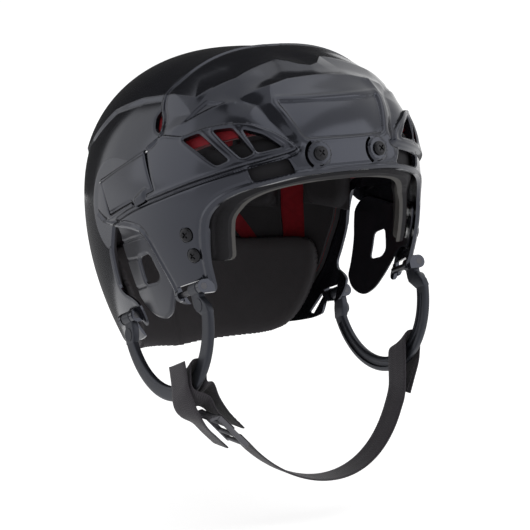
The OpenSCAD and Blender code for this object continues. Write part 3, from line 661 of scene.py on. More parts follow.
# The crown rises in a flat facet towards the seam
inset -= 3.0 * np.minimum(np.clip((y + 68) / 32, 0, 1), ease((z - 66) / 18))
for line, height, reach in ((crown_crease, 1.8, 17), (brow_crease, 1.2, 11), (brow_side, 0.9, 9),
                            (brow_valley, -1.9, 13), (wedge_crease, 0.9, 9)):
    inset -= crease(right, line, height, reach)
inset += 1.5 * ease(depth(side, wedge_recess) / 2.2)
# The side band stands proud, with a rolled edge and a groove below it
band_depth = depth(chart, band_outline)
inset -= 1.9 * ease((band_depth + 0.2) / 1.2) + 0.45 * ripple(band_depth, 1.7, 0.9)
below_band = z < 30 + 0.468 * (60 - turned)
inset += 1.2 * ripple(band_depth, -1.5, 0.9) * below_band
# The brow panel is sunk, and the screw bosses stand on a plain field
panel_in = depth(front, brow_panel)
inset += np.where(at_front, 1.5 * ease(panel_in / 1.6) - 0.35 * ripple(panel_in, -1.3, 1.0), 0)
for s in (-1, 1):
    boss = np.hypot(x - s * screw_x, (z - screw_z) * 1.04)
    inset -= np.where(at_front, 1.2 * ease((8.1 - boss) / 0.9), 0)
# Rims, vents and latch pockets have rolled edges
rim_in = depth(side, front_outline)
inset += lip(rim_in, 1.1, 0.6) - 0.5 * ripple(rim_in, 1.9, 0.9) + 0.4 * ripple(rim_in, 3.9, 0.8)
for hole in vents:
    hole_out = -depth(chart, hole)
    inset += lip(hole_out, 0.9, 0.5) - 0.3 * ripple(hole_out, 1.5, 0.8)
inset += lip(-depth(side, latch_outline), 0.7, 0.35) * (band_depth > -3)
front_shell = closed_body("front shell", dome(a_grid, f_grid, inset.reshape(a_grid.shape)), (0, 10, 20))
hollow_rows = np.concatenate([np.arange(-0.54, 0, 0.03), np.linspace(0, 0.995, 50)])
hollow_grid = dome(*np.meshgrid(np.arange(-100, 100.1, 2), hollow_rows), wall)
carve(front_shell, closed_body("hollow", hollow_grid, (0, 24, 20)))
trim(front_shell, front_outline)
print("front shell:", len(front_shell.data.polygons), "faces")

# %% [markdown]
# The holes come next. The vents and the latch pocket go straight through both sides, as the
# mould's side cores leave them. The slots beside the forehead screws let the visor's tabs in.

# %% Holes in the front shell
def level_at(degrees, height):
    """The level of the dome at a height."""
    power = arch_power(np.radians(degrees))
    share = np.clip(height / crown_height, 0, 1) ** (power / 2)
    return np.where(height < 0, height / skirt, np.arcsin(share) * 2 / math.pi)


def chart_cutter(outline, s):
    """A cutter through the wall of one side, under an outline in the side chart."""
    p = outline / chart_scale
    level = level_at(p[:, 0], p[:, 1])
    return between("cutter", *(dome(s * p[:, 0], level, inset) for inset in (6.0, -5.0)))


for s in (-1, 1):
    for hole in vents:
        carve(front_shell, chart_cutter(hole, s))
pierce(front_shell, latch_outline)


def seat(at, turn):
    """The place of a screw: its own x and y lie in the shell, its z points out of it."""
    return moved(*at) @ turn


def bore(piece, outline, low, high, matrix):
    """Cuts a hole along z of a seat."""
    carve(piece, place(prism("bore", outline, "z", low, high), matrix))


def disc(radius, count=40):
    t = np.linspace(0, 2 * np.pi, count, endpoint=False)
    return np.stack([radius * np.cos(t), radius * np.sin(t)], -1)


forehead_seats, side_seats = [], []
for s in (-1, 1):
    at = (s * screw_x, brow_y(screw_x, screw_z), screw_z)
    forehead_seats.append(seat(at, rotation(s * 8, "Z") @ rotation(74, "X")))
    for y, z in ((-79, -7), (-83, -20)):
        tilt = 90 + math.degrees(math.atan(-2 * side_draw * z / draw_height ** 2))
        side_seats.append(seat((s * side_x(y, z), y, z), rotation(-s * 23, "Z") @ rotation(s * tilt, "Y")))

t = np.radians(np.linspace(122, 238, 16))
arc = np.stack([np.cos(t), np.sin(t)], -1)
crescent = round_corners(np.concatenate([10.3 * arc, 8.3 * arc[::-1]]), 1)
for matrix in forehead_seats:
    bore(front_shell, disc(3.9), -9, 9, matrix)
    bore(front_shell, crescent, -9, 9, matrix)
for matrix in side_seats:
    bore(front_shell, disc(5.3), -0.6, 9, matrix)
    bore(front_shell, disc(2.6), -9, 9, matrix)
thinner(front_shell, 0.5)
print("front shell after thinning:", len(front_shell.data.polygons), "faces")

# %% [markdown]
# The loops hang from bars, and each bar sits in two lugs on the shell. The front lugs stand
# further apart than the eye is long, because the rear shell slides with the loops.

# %% Lugs for the loop bars
slope_u = np.array([0, math.cos(slope), -math.sin(slope)])
loop_origin = (85.0, -82.0, -42.0)
eye_radius, lug_w, bar_radius = 4.4, 3.5, 2.26


def loop_matrix(s):
    """The loop's own frame: x rearward along the base plane, y up, z outward."""
    matrix = Matrix((slope_u, (0, math.sin(slope), math.cos(slope)), (s, 0, 0))).transposed().to_4x4()
    matrix.translation = Vector((s * loop_origin[0], *loop_origin[1:])) * MM
    return matrix


def carry_bar(shell, s, low, high, inset):
    """Adds the two lugs of a bar to a shell, and clears the room between them."""
    along_bar = loop_matrix(s) @ rotation(90, "Y")
    t = np.linspace(-math.pi / 2, math.pi / 2, 14)
    nose = np.stack([-eye_radius * np.cos(t), eye_radius * np.sin(t)], -1)
    for u in (low - lug_w, high):
        at = np.array(loop_origin) + slope_u * (u + lug_w / 2)
        deep = loop_origin[0] - side_x(at[1], at[2], inset + wall / 2)
        shape = [(deep, -eye_radius), *nose, (deep, eye_radius)]
        carve(shell, place(prism("lug", shape, "z", u, u + lug_w), along_bar), "UNION")
    room = [(-14, -25), (14, -25), (14, eye_radius + 0.6), (-14, eye_radius + 0.6)]
    bore(shell, room, low, high, along_bar)
    bore(shell, disc(bar_radius, 32), low - lug_w - 1, high + lug_w + 1, along_bar)


for s in (-1, 1):
    carry_bar(front_shell, s, -6, 18, 0)
dress(front_shell, "front_shell_moulding", "root", shell_black, ("front_shell",))

# %% [markdown]
# ## The rear shell
#
# It slides inside the front shell, so it is drawn 3.3 mm further in, over the full turn. Its
# crown panel stands 1.5 mm proud with a crisp crease, and its flanks are cut flat where the
# latch runs. The back is closed to view in the picture: its six vent slots are a usual layout.

# %% Rear shell
rear_outline = soften([[-56, 125], [-56, 60], [-56, 14], [-40, 6], [0, 0], [5, -8], [8, -20], [9.5, -43],
    [10.5, -58], [-4, -61], [-9, -65], [-9, -76], [-4, -80], [6, -91], [30, -98], [45, -101], [70, -106],
    [95, -112], [120, -119], [150, -126], [190, -120], [190, 60], [150, 125], [60, 160]])
crown_outline = round_corners([[-31, 130], [-29, 74], [-9, 70.5], [20, 61], [48, 39], [66, 30], [100, 24],
    [112, 40], [118, 60], [100, 130]], 2)
seam_hole = round_corners([[-47, 53], [-36, 55], [-31, 63], [-33, 69], [-46, 71]], 3)
neck_slot = round_corners([[12, -77], [15.5, -77], [21, -91], [15, -91]], 1.5)
rear_inset, flank_x = 3.3, 96.6


def ring_body(name, turns, rows, inset, star, clip):
    """A solid under a full ring of the dome, open to a point in its middle below."""
    surface = dome(*np.meshgrid(np.linspace(0, 360, turns, endpoint=False), rows), inset)
    surface[..., 0] = np.clip(surface[..., 0], -clip, clip)
    last = (len(rows) - 1) * turns
    next_to = [*range(1, turns), 0]
    faces = [(j + i, j + k, j + turns + k, j + turns + i)
             for j in range(0, last, turns) for i, k in enumerate(next_to)]
    top, low = last + turns, last + turns + 1
    faces += [(last + i, last + k, top) for i, k in enumerate(next_to)]
    faces += [(k, i, low) for i, k in enumerate(next_to)]
    return solid(name, np.concatenate([surface.reshape(-1, 3), [surface[-1].mean(0)], [star]]), faces)


rows = np.concatenate([np.linspace(-0.99, 0, 130), np.linspace(0, 1, 150)[1:] ** 1.1 * 0.992])
probe = dome(*np.meshgrid(np.linspace(0, 360, 560, endpoint=False), rows), rear_inset)
side, back_x = side_of(probe), np.abs(probe[..., 0].ravel())
inset = rear_inset - 1.5 * ease((depth(side, crown_outline) + 0.6) / 2.8)
inset += lip(depth(side, rear_outline), 2.0, 0.7)
inset += lip(-depth(side, seam_hole), 1.5, 0.5)
# Two shallow channels run down the back, either side of its middle rib
channel = 1.1 * ease((back_x - 9) / 3) * ease((34 - back_x) / 6) * ease((14 - side[:, 1]) / 10)
inset += np.where((side[:, 0] > 60) & (side[:, 1] < 20), channel, 0)
rear_shell = ring_body("rear shell", 560, rows, inset.reshape(len(rows), -1), (0, 20, -60), flank_x)
inner_rows = np.concatenate([np.linspace(-1.1, 0, 50), np.linspace(0, 1, 60)[1:] * 0.992])
carve(rear_shell, ring_body("hollow", 120, inner_rows, rear_inset + wall, (0, 20, -150), flank_x - wall))
trim(rear_shell, rear_outline)
for hole in (seam_hole, neck_slot):
    pierce(rear_shell, hole)
for x, top in ((-16, 44), (-36, 41), (-56, 38), (16, 44), (36, 41), (56, 38)):
    pierce(rear_shell, round_corners([[x - 4, 8], [x + 4, 8], [x + 4, top], [x - 4, top]], 4), "y", 60)
for s in (-1, 1):
    carry_bar(rear_shell, s, 86, 98, rear_inset)
thinner(rear_shell, 0.6)
dress(rear_shell, "rear_shell_moulding", "rear", shell_black, ("rear_shell",))

# %% [markdown]
# ## The size rack
#
# Nine short teeth stand on each flank of the rear shell, under the latch panel. They repeat at
# one pitch along the slide, so one tooth is laid out by a small node tree.
#
# Screws, teeth and stitches all repeat one small form at stated places. The tree below copies
# that form to every point of a mesh. Each point carries its own turn, so one tree serves them all.

# %% Copies at points
def copies(name, form, places, material):
    """One mesh of a form repeated at matrices, by a node tree."""
    spots = bpy.data.meshes.new(name + " spots")
    spots.from_pydata([m.to_translation() for m in places], [], [])
    turn = spots.attributes.new("turn", "FLOAT_VECTOR", "POINT")
    for k, matrix in enumerate(places):
        turn.data[k].vector = matrix.to_euler("XYZ")
    piece = bpy.data.objects.new(name, spots)
    bpy.context.scene.collection.objects.link(piece)
    geometry = ("Geometry", "NodeSocketGeometry")
    form_socket = ("Form", "NodeSocketObject")
    tree, given, ends = new_tree("GeometryNodeTree", "copies of " + name, [geometry, form_socket], [geometry])
    source = node_of(tree, "GeometryNodeObjectInfo", {"Object": given["Form"]}, transform_space="ORIGINAL")
    turn = node_of(tree, "GeometryNodeInputNamedAttribute", {"Name": "turn"}, data_type="FLOAT_VECTOR")
    to_turn = node_of(tree, "FunctionNodeEulerToRotation", {"Euler": turn["Attribute"]})
    copied = node_of(tree, "GeometryNodeInstanceOnPoints", {
        "Points": given["Geometry"], "Instance": source["Geometry"], "Rotation": to_turn["Rotation"]})
    real = node_of(tree, "GeometryNodeRealizeInstances", {"Geometry": copied["Instances"]})
    paint = node_of(tree, "GeometryNodeSetMaterial", {"Geometry": real["Geometry"], "Material": material})
    tree.links.new(paint["Geometry"], ends["Geometry"])
    modifier = piece.modifiers.new("nodes", "NODES")
    modifier.node_group = tree
    form_input = next(item for item in tree.interface.items_tree if item.name == "Form")
    modifier[form_input.identifier] = form
    applied(piece, modifier)
    bpy.data.objects.remove(form)
    return piece


tooth = bevelled(box_mesh("tooth", (-1.2, -0.75, -7), (1.1, 0.75, 7)), 0.35)
rack_places = []
for s in (-1, 1):
    for step in range(-12, 15, 3):
        at = (s * flank_x, -20 + step * math.cos(slope), 18 - step * math.sin(slope))
        rack_places.append(seat(at, rotation(-21, "X") @ rotation(0 if s > 0 else 180, "Z")))
rack = copies("size_rack", tooth, rack_places, shell_black)
dress(rack, "size_rack", "rear", shell_black)

# %% [markdown]
# ## Screws
#
# The forehead screws and the side screws are black pan heads with a cross recess. One head is
# turned, its recess is cut, and it is copied to its seats. Their threaded inserts sit behind the
# shell, out of view, and keep their solids.

# %% Screws
def pan_head(low, radius=4.7, height=2.4):
    """A pan head with a cross recess, seated at a height above the shell."""
    crown = []
    for u in np.linspace(0, 1, 8)[:-1] * math.pi / 2:
        crown.append([radius * math.cos(u) ** 0.55, low + 0.8 + (height - 0.8) * math.sin(u)])
    head = lathe("head", [[2.4, low - 6], [2.4, low], [radius - 0.3, low], [radius, low + 0.3], *crown], 40)
    for angle in (45, 135):
        bar = box_mesh("recess", (-2.3, -0.55, low + height - 1.25), (2.3, 0.55, low + height + 1))
        carve(head, place(bar, rotation(angle, "Z")))
    return head


for name, node, seats, low in (("forehead_screw_heads", "forehead_screws", forehead_seats, 1.2),
                               ("side_screw_heads", "side_screws", side_seats, -0.6)):
    dress(copies(name, pan_head(low), seats, screw_black), name, "root", screw_black, (node,))

# %% [markdown]
# ## The latches
#
# Each latch is a black panel in a pocket of the front shell. It hinges at its upper edge on a
# steel pin and swings out to free the slide. Its face is left bare, and a small finger tab
# stands at its front corner.

# %% Latches
sides = ((-1, "right", "r"), (1, "left", "l"))


def side_patch(name, outline, insets, span, levels, count, edge, relief):
    """A piece of both flanks between two insets, inside a side outline. The relief tells how much
    lower its face lies, and how far the whole piece is sunk."""
    both = []
    for s in (-1, 1):
        a, f = np.meshgrid(np.linspace(*span, count[0]) * s, np.linspace(*levels, count[1]))
        side = side_of(dome(a, f, insets[0]))
        low_by, sunk_by = relief(side)
        face = insets[0] + lip(depth(side, outline), *edge) + low_by + sunk_by
        back = insets[1] + sunk_by + np.zeros(len(side))
        face, back = (dome(a, f, inset.reshape(a.shape)) for inset in (face, back))
        both.append(trim(slab(name, face, back), outline))
    return both


panel_outline = round_corners([
    [8.0, 18.0], [-39.0, 42.0], [-53.3, 19.3], [-46.6, 16.3], [-45.6, 11.5], [-35, 6.6], [-31.8, 9.7],
    [-4.9, -2.2]], 1.6)
tab_outline = round_corners([[-45, 20.5], [-51, 19.8], [-45.6, 17.2], [-44.6, 13.4], [-36, 9.4],
    [-34, 12]], 1.5)


def latch_relief(side):
    return -0.9 * ease(depth(side, tab_outline) / 1.5), 0


panels = side_patch("latch", panel_outline, (-2.0, 1.0), (60, 110), (-0.06, 0.34), (170, 110), (1.6, 0.6),
                    latch_relief)
for piece, (s, word, letter) in zip(panels, sides):
    back, fore = (Vector((s * (side_x(y, z) + 0.4), y, z)) * MM for y, z in ((8, 18), (-39, 42)))
    along = fore - back
    barrel = bevelled(lathe("barrel", [[1.9, 0], [1.9, along.length / MM]], 24), 0.3)
    place(barrel, Matrix.Translation(back) @ along.to_track_quat("Z", "Y").to_matrix().to_4x4())
    carve(piece, barrel, "UNION")
    dress(piece, f"latch_{word}_panel", f"latch_{letter}", shell_black, (f"latch_{word}",))

# %% [markdown]
# ## The ear guards
#
# A duller moulded guard hangs inside each side of the front shell, with an ear window, three
# grooves that run in from its rear edge, and a rounded free edge.

# %% Ear guards
guard_outline = round_corners([[-2, -10], [-3, -24], [-6, -34], [-9.5, -54], [-10, -60], [-17, -67],
    [-26, -70], [-36, -70], [-46, -64], [-54, -52], [-62, -38], [-68, -32], [-88, -29], [-90, 0],
    [-70, -1], [-46, -6], [-12, -5]], 5)
ear_window = round_corners([[-26, -29], [-39, -24], [-46, -38], [-42, -43], [-28, -47]], 3.5)
grooves = [np.array(g, float) for g in (
    [[-2, -24], [-2, -21], [-37, -11], [-37, -14]], [[-2, -36], [-2, -33.5], [-27, -28], [-27, -30.5]],
    [[-4, -56], [-4, -53.5], [-28, -46.5], [-28, -49]])]


def guard_relief(side):
    """Grooves and a rolled window, on a guard that leans inwards to its free rear edge."""
    low_by = 0.9 * (1 - ease(-depth(side, ear_window) / 2.2))
    for groove in grooves:
        low_by += 0.8 * ease(depth(side, groove) / 0.7)
    return low_by, 3.2 * ease((side[:, 0] + 34) / 30) * ease((-side[:, 1] - 8) / 10)


guards = side_patch("guard", guard_outline, (3.2, 5.3), (38, 107), (-0.6, 0.06), (190, 190), (2.2, 0.9),
                    guard_relief)
for piece, (_, word, _) in zip(guards, sides):
    pierce(piece, ear_window)
    dress(piece, f"ear_guard_{word}_moulding", "root", guard_black, (f"ear_guard_{word}",))

# %% [markdown]
# ## The ear loops
#
# Each loop is a rubbery ring, open at the top, whose two ends fold over a steel bar on the
# helmet. A groove runs round its inner face. Press studs close the folded ends.

# %% Ear loops
ring_middle, ring_radius, ring_half, loop_half, eye_span = (44.0, -8.0), 52.0, 5.0, 2.5, 92.0
ring_end = math.asin((-16 - ring_middle[1]) / ring_radius)


def ring_arc(margin, count):
    """Points along the ring, short of its ends by an angle."""
    t = np.linspace(math.pi - ring_end + margin, 2 * math.pi + ring_end - margin, count)
    return ring_middle + ring_radius * np.stack([np.cos(t), np.sin(t)], -1)


def bar_section(width, thick):
    """The section of a bar, square with rounded corners, as [outward, sideways] points."""
    t = np.linspace(0, 2 * np.pi, 32, endpoint=False) + math.pi / 32
    corner = np.stack([np.cos(t), np.sin(t)], -1)
    return np.sign(corner) * np.abs(corner) ** 0.5 * [width, thick]


def swept(name, path, section):
    """A closed tube: one section at each station of a plane path."""
    points = []
    for (x, y), tangent in zip(path, np.gradient(path, axis=0)):
        across = np.array([-tangent[1], tangent[0]]) / np.linalg.norm(tangent)
        points += [[x + across[0] * p[0], y + across[1] * p[0], p[1]] for p in section]
    return tube(name, points, len(section))


fold_front = [[-12.4, -17.5], [-2.2, -17.5], [1.6, -14], [4.4, -11.6], [5, -9], [5, 0], [-5, 0], [-5, -6.5],
              [-8, -9], [-11, -12.4]]
fold_rear = [[100.4, -17.5], [90.2, -17.5], [88.2, -14], [87.2, -11], [87, -8], [87, 0], [97, 0], [97, -6.5],
             [98.6, -10]]
for s, word, letter in sides:
    ring = swept("ring", ring_arc(0, 90), bar_section(ring_half, loop_half))
    for outline in (fold_front, fold_rear):
        carve(ring, bevelled(prism("fold", outline, "z", -loop_half, loop_half), 0.9, 3), "UNION")
    for x in (0, eye_span):
        at_eye = moved(x, 0, 0) @ rotation(90, "Y")
        profile = [[eye_radius - 0.5, -5], [eye_radius, -4.5], [eye_radius, 4.5], [eye_radius - 0.5, 5]]
        carve(ring, place(lathe("eye", profile, 40), at_eye), "UNION")
        carve(ring, place(lathe("bore", [[bar_radius, -9], [bar_radius, 9]]), at_eye))
    carve(ring, swept("ditch", ring_arc(0.1, 80), bar_section(2.0, 1.6) + [0, -loop_half]))
    place(ring, loop_matrix(s))
    dress(ring, f"ear_loop_{word}_rubber", f"loop_{letter}", rubber_black, (f"ear_loop_{word}",), 40)
    studs = [loop_matrix(s) @ moved(x, -11, loop_half) for x in (-2, 94)]
    profile = [[4.4, -0.4], [4.6, 0.2], [4.6, 1.4], [4.2, 2.3], [3.3, 2.9], [2, 3.15], [0.3, 3.2]]
    cap = lathe("stud", profile, 36)
    name = f"loop_studs_{word}_caps"
    caps = turn_out(copies(name, cap, studs, rubber_black))
    dress(caps, name, f"loop_{letter}", rubber_black, (f"loop_studs_{word}",))

# %% [markdown]
# ## Foam inside the helmet
#
# The red liner is moulded bead foam, in a front half and a rear half that slide with their
# shells. The black comfort pads are skinned foam with pillowed faces. They are crafted as crowned
# closed forms: a grid of the dome, whose outer face lies on the liner and whose inner face swells
# towards the middle and rounds away at its borders.

# %% Foam tools
pad_back, pad_front = 13.7, 20.7


def rounded_edge(border, reach):
    """A profile that rises from 0 at the border to 1, as a quarter of a circle."""
    return np.sqrt(1 - (1 - np.clip(border / reach, 0, 1)) ** 2)


def comfort_pad(name, span, low, edge, count):
    """A pad that rounds away at its border and swells in the middle."""
    a, f = np.meshgrid(np.linspace(*span, count), np.linspace(low, 0.62, 90))
    middle = dome(a, f, (pad_back + pad_front) / 2)
    width = np.linalg.norm(np.diff(middle, axis=1), axis=2)
    height = np.linalg.norm(np.diff(middle, axis=0), axis=2)
    from_left = np.concatenate([np.zeros((a.shape[0], 1)), np.cumsum(width, 1)], 1)
    from_low = np.concatenate([np.zeros((1, a.shape[1])), np.cumsum(height, 0)], 0)
    x = np.minimum(from_left, from_left[:, -1:] - from_left)
    y = np.minimum(from_low, from_low[-1:, :] - from_low)
    corner = edge * 1.6
    cut = corner - np.hypot(np.clip(corner - x, 0, None), np.clip(corner - y, 0, None))
    border = np.clip(np.where((x < corner) & (y < corner), cut, np.minimum(x, y)), 0, None)
    face = pad_back + (pad_front - pad_back) * (0.25 + 0.75 * rounded_edge(border, edge))
    return slab(name, dome(a, f, pad_back), dome(a, f, face))


def top_z(x, y, inset):
    """Height of the dome's inside over a point of the plan."""
    low, high = 0.2, 1.0
    for _ in range(30):
        level = (low + high) / 2
        lean = crown_lead * float(np.sin(level * math.pi / 2) ** (2 / side_arch)) ** 1.5
        angle = math.atan2(x, -(y + lean))
        reach = float(np.linalg.norm(dome(math.degrees(angle), level, inset)[:2] + np.array([0, lean])))
        if reach > math.hypot(x, y + lean):
            low = level
        else:
            high = level
    return float(dome(math.degrees(angle), level, inset)[2])


def oval_pad(name, half_x, half_y, centre_y, rings=40, turns=64):
    """The crown pad: an oval cushion under the crown, swelling downwards."""
    t = np.linspace(0, 2 * np.pi, turns, endpoint=False)
    oval = np.stack([np.cos(t), np.sin(t)], -1)
    oval = np.sign(oval) * np.abs(oval) ** 0.8 * [half_x, half_y]
    points = []
    for lower_face in (False, True):
        for r in np.linspace(0, 1, rings + 1):
            swell = math.sqrt(max(0, 1 - r ** 6))
            share = 0.25 + 0.75 * swell if lower_face else 0.12 * (1 - swell)
            for x, y in r * oval + [0, centre_y]:
                points.append([x, y, top_z(x, y, pad_back + (pad_front - pad_back) * share)])
    n, last = (rings + 1) * turns, rings * turns
    next_to = [*range(1, turns), 0]
    faces = [(j + k, j + m, j + turns + m, j + turns + k)
             for side in (0, n) for j in range(side, side + last, turns) for k, m in enumerate(next_to)]
    faces += [(last + k, last + m, n + last + m, n + last + k) for k, m in enumerate(next_to)]
    piece = make(name, points, faces)
    work = bmesh.new()
    work.from_mesh(piece.data)
    bmesh.ops.remove_doubles(work, verts=work.verts, dist=1e-6)
    work.to_mesh(piece.data)
    work.free()
    return turn_out(piece)


print("height under the crown:", round(top_z(0, 6, pad_back), 1))

# %% Pads
pads = {
    "side_pad_right": comfort_pad("side", (-118, -88), -0.12, 9, 46),
    "side_pad_left": comfort_pad("side", (88, 118), -0.12, 9, 46),
    "corner_pads": joined([comfort_pad("corner", span, -0.16, 7, 36) for span in ((132, 149), (-149, -132))]),
    "rear_pad": comfort_pad("rear", (158, 202), -0.16, 9, 66),
    "crown_pad": oval_pad("crown", 27, 46, 6)}
for name, piece in pads.items():
    dress(piece, name + "_foam", "rear", pad_black, (name,), 0)

# %% [markdown]
# The rear liner is one red moulding. A thin black comfort layer is laminated on it, and leaves
# open two channels on each side, in which the red foam shows. Its front edges are painted
# black, as painted shade where they sit deep inside the shell.

# %% Liners
liner_outer, liner_inner, layer_inner = 6.7, 10.6, 12.5


def ring_slab(name, outer, inner, low, clip):
    """A full ring of foam between two insets, closed over the crown."""
    levels = np.concatenate([np.linspace(low, 0, 75), np.linspace(0, 1, 75)[1:] * 0.985])
    core_levels = np.concatenate([np.linspace(low - 0.1, 0, 40), np.linspace(0, 1, 50)[1:] * 0.985])
    core = ring_body("core", 140, core_levels, inner, (0, 20, -150), clip - (inner - outer))
    return carve(ring_body(name, 300, levels, outer, (0, 20, -60), clip), core)


rear_liner_outline = round_corners([[-50, 125], [-50, 20], [0, 6], [12, -6], [20, -40], [22, -58],
    [34, -90], [95, -106], [150, -120], [150, 125]], 4)
rear_liner = trim(ring_slab("rear liner", liner_outer, liner_inner, -0.97, 93.6), rear_liner_outline)
dress(rear_liner, "rear_liner_foam", "rear", foam_red, ("rear_liner",), 40)
# The liner's front-facing edges take the black foam finish: painted shade where they sit deep in the shell
rear_liner.data.materials.append(pad_black)
for polygon in rear_liner.data.polygons:
    if polygon.normal.y < -0.4 and polygon.center.y < 40 * MM and polygon.center.z < 12 * MM:
        polygon.material_index = 1

layer_outline = round_corners([[-49, 125], [-49, 21], [0.5, 6.5], [12.3, -6], [20.3, -40], [22.3, -58],
    [34.3, -89.5], [95, -105], [150, -119], [150, 125]], 4)
layer = trim(ring_slab("comfort layer", liner_inner + 0.1, layer_inner, -0.965, 89.6), layer_outline)


def strip_cutters(path, width, s, steps=14):
    """Cutters of one width along a path of [degrees, level] points, one for each short stretch."""
    p = np.asarray(path, float)
    t = np.linspace(0, len(p) - 1, steps)
    line = np.stack([np.interp(t, range(len(p)), p[:, k]) for k in (0, 1)], -1)
    to_mm = [chart_scale[0], skirt]
    tangent = np.gradient(line, axis=0) * to_mm
    across = np.stack([-tangent[:, 1], tangent[:, 0]], -1) / np.linalg.norm(tangent, axis=1)[:, None]
    half = across * width / 2 / to_mm
    left, right = line + half, line - half
    for k in range(steps - 1):
        more = 0.02 * (line[k + 1] - line[k])
        quad = np.array([left[k] - more, left[k + 1] + more, right[k + 1] + more, right[k] - more])
        yield between("channel", *(dome(s * quad[:, 0], quad[:, 1], inset) for inset in (9.0, 15.0)))


for s in (-1, 1):
    for path, width in (([[125.5, 0.6], [125, 0], [124.5, -0.16], [122.5, -0.33]], 21),
                        ([[153.5, 0.6], [153.5, 0], [152.5, -0.19], [142.5, -0.36]], 10)):
        for cutter in strip_cutters(path, width, s):
            carve(layer, cutter)
dress(layer, "comfort_layer", "rear", pad_black, (), 40)

front_liner_outline = round_corners([[-150, 64], [-113, 62], [-98, 55.5], [-80, 49.5], [-60, 40], [-58.5, 60],
                                     [-58.5, 125], [-150, 125]], 3)
grid = np.meshgrid(np.linspace(-88, 88, 160), np.linspace(0.2, 0.95, 70))
front_liner = trim(slab("front liner", dome(*grid, 3.4), dome(*grid, 9.2)), front_liner_outline)
dress(front_liner, "front_liner_foam", "root", foam_red, ("front_liner",), 40)

# %% [markdown]
# The brow pad is one arch of charcoal foam. The edge that faces the wearer's view has a paler
# flocked band. The back pad is a broad skinned foam with a crease where its two halves meet.

# %% Brow pad
brow_pad_outline = round_corners([[-150, 37], [-129, 32], [-121, 27], [-110, 21], [-101, 14], [-96, 5],
    [-95, -24], [-82, -24], [-76, -18], [-70, 20], [-68, 38], [-82, 46], [-100, 52], [-112, 58],
    [-150, 60]], 6)
a, f = np.meshgrid(np.linspace(-70, 70, 300), np.linspace(-0.22, 0.58, 150))
probe = dome(a, f, 0.0)
high = probe[..., 2]
border = depth(side_of(probe), brow_pad_outline).reshape(a.shape)
sink = 4.9 + 3.2 * np.clip((26 - high) / 14, 0, 1)
thick = 9.5 - 2.2 * ease((22 - high) / 20)
swell = rounded_edge(border, 4.5)
skins = [dome(a, f, sink + 1.2 * (1 - swell)), dome(a, f, sink + thick * (0.72 + 0.28 * swell))]
brow_pad = trim(slab("brow pad", *skins), brow_pad_outline)
# The grey band runs along the edge that faces the wearer, so each vertex asks the nearer skin
at_edge = np.concatenate([np.zeros(a.size), (1 - ease((border - 3.2) / 1.6)).ravel()])
nearest = KDTree(len(at_edge))
for k, point in enumerate(np.concatenate(skins).reshape(-1, 3) * MM):
    nearest.insert(point, k)
nearest.balance()
mark = brow_pad.data.attributes.new("border", "FLOAT", "POINT")
mark.data.foreach_set("value", [at_edge[nearest.find(v.co)[1]] for v in brow_pad.data.vertices])
dress(brow_pad, "brow_pad_foam", "root", pad_grey, ("brow_pad",), 50)

# %% Back pad
back_outline = np.array([[180, -118], [150, -112], [130, -107], [116, -99], [108, -86], [104.4, -70],
    [104.2, -56], [108, -44], [114, -38.5], [130, -41], [146, -44], [162, -42], [180, -40]], float)
back_shape = soften(np.concatenate([back_outline, (back_outline * [-1, 1] + [360, 0])[::-1]]))
a, f = np.meshgrid(np.linspace(103.5, 256.5, 240), np.linspace(-0.95, -0.27, 130))
back_scale = [1.75, 1]
flat = np.stack([a.ravel() - 180, f.ravel() * skirt], -1) * back_scale
border = depth(flat, (back_shape - [180, 0]) * back_scale).reshape(a.shape)
swell = rounded_edge(border, 9)
crease_depth = 1.1 * (1 - ease(np.abs(a - 180) / 2.2))
inner = 13.9 + 6.5 * (0.35 + 0.65 * swell) - crease_depth
back_pad = slab("back pad", dome(a, f, 13.8 + 0.8 * (1 - swell)), dome(a, f, inner))
# Only the points inside the outline stay, and the two skins are closed along their new borders
inside = np.tile(border.ravel() > 0, 2)
work = bmesh.new()
work.from_mesh(back_pad.data)
work.verts.ensure_lookup_table()
bmesh.ops.delete(work, geom=[v for v in work.verts if not inside[v.index]], context="VERTS")
edges = [e for e in work.edges if e.is_boundary]
bmesh.ops.bridge_loops(work, edges=edges)
bmesh.ops.recalc_face_normals(work, faces=work.faces)
work.to_mesh(back_pad.data)
work.free()
# Its black foam is painted lighter, as painted light for the dim back of the hollow
dress(back_pad, "back_pad_foam", "rear", back_pad_painted_lighter, ("back_pad",), 0)
print("border edges bridged:", len(edges))

# %% [markdown]
# ## The chin strap
#
# The strap is 19 mm nylon webbing, 1.5 mm thick. It folds over the far loop and is sewn to
# itself. On the near side an anchor piece holds the buckle, and the free tail runs back down
# beside it. Webbing is flat, so each piece is laid directly along its route, with softened
# selvedges, and its weave follows the strap's own map.

# %% Webbing
strap_y, strap_z, web_w, web_t = -75.0, -107.0, 19.0, 1.5
loop_x = loop_origin[0]
# The middle of a loop's ring in the helmet's own axes, and the slant of the strap's near side
ring_y, ring_z = -43.79, -65.24
near = math.radians(45)


def rise(y):
    """How far a loop strip has risen at a distance from the middle of the webbing."""
    return ring_z - math.sqrt(ring_radius ** 2 - (strap_y + y - ring_y) ** 2) - strap_z


def near_pt(s, h, tilt=0.0):
    """A point on the near side, along the strap's slant and off it."""
    x, z = s * math.cos(near) - h * math.sin(near), s * math.sin(near) + h * math.cos(near)
    return [x - loop_x, strap_z - z, tilt]


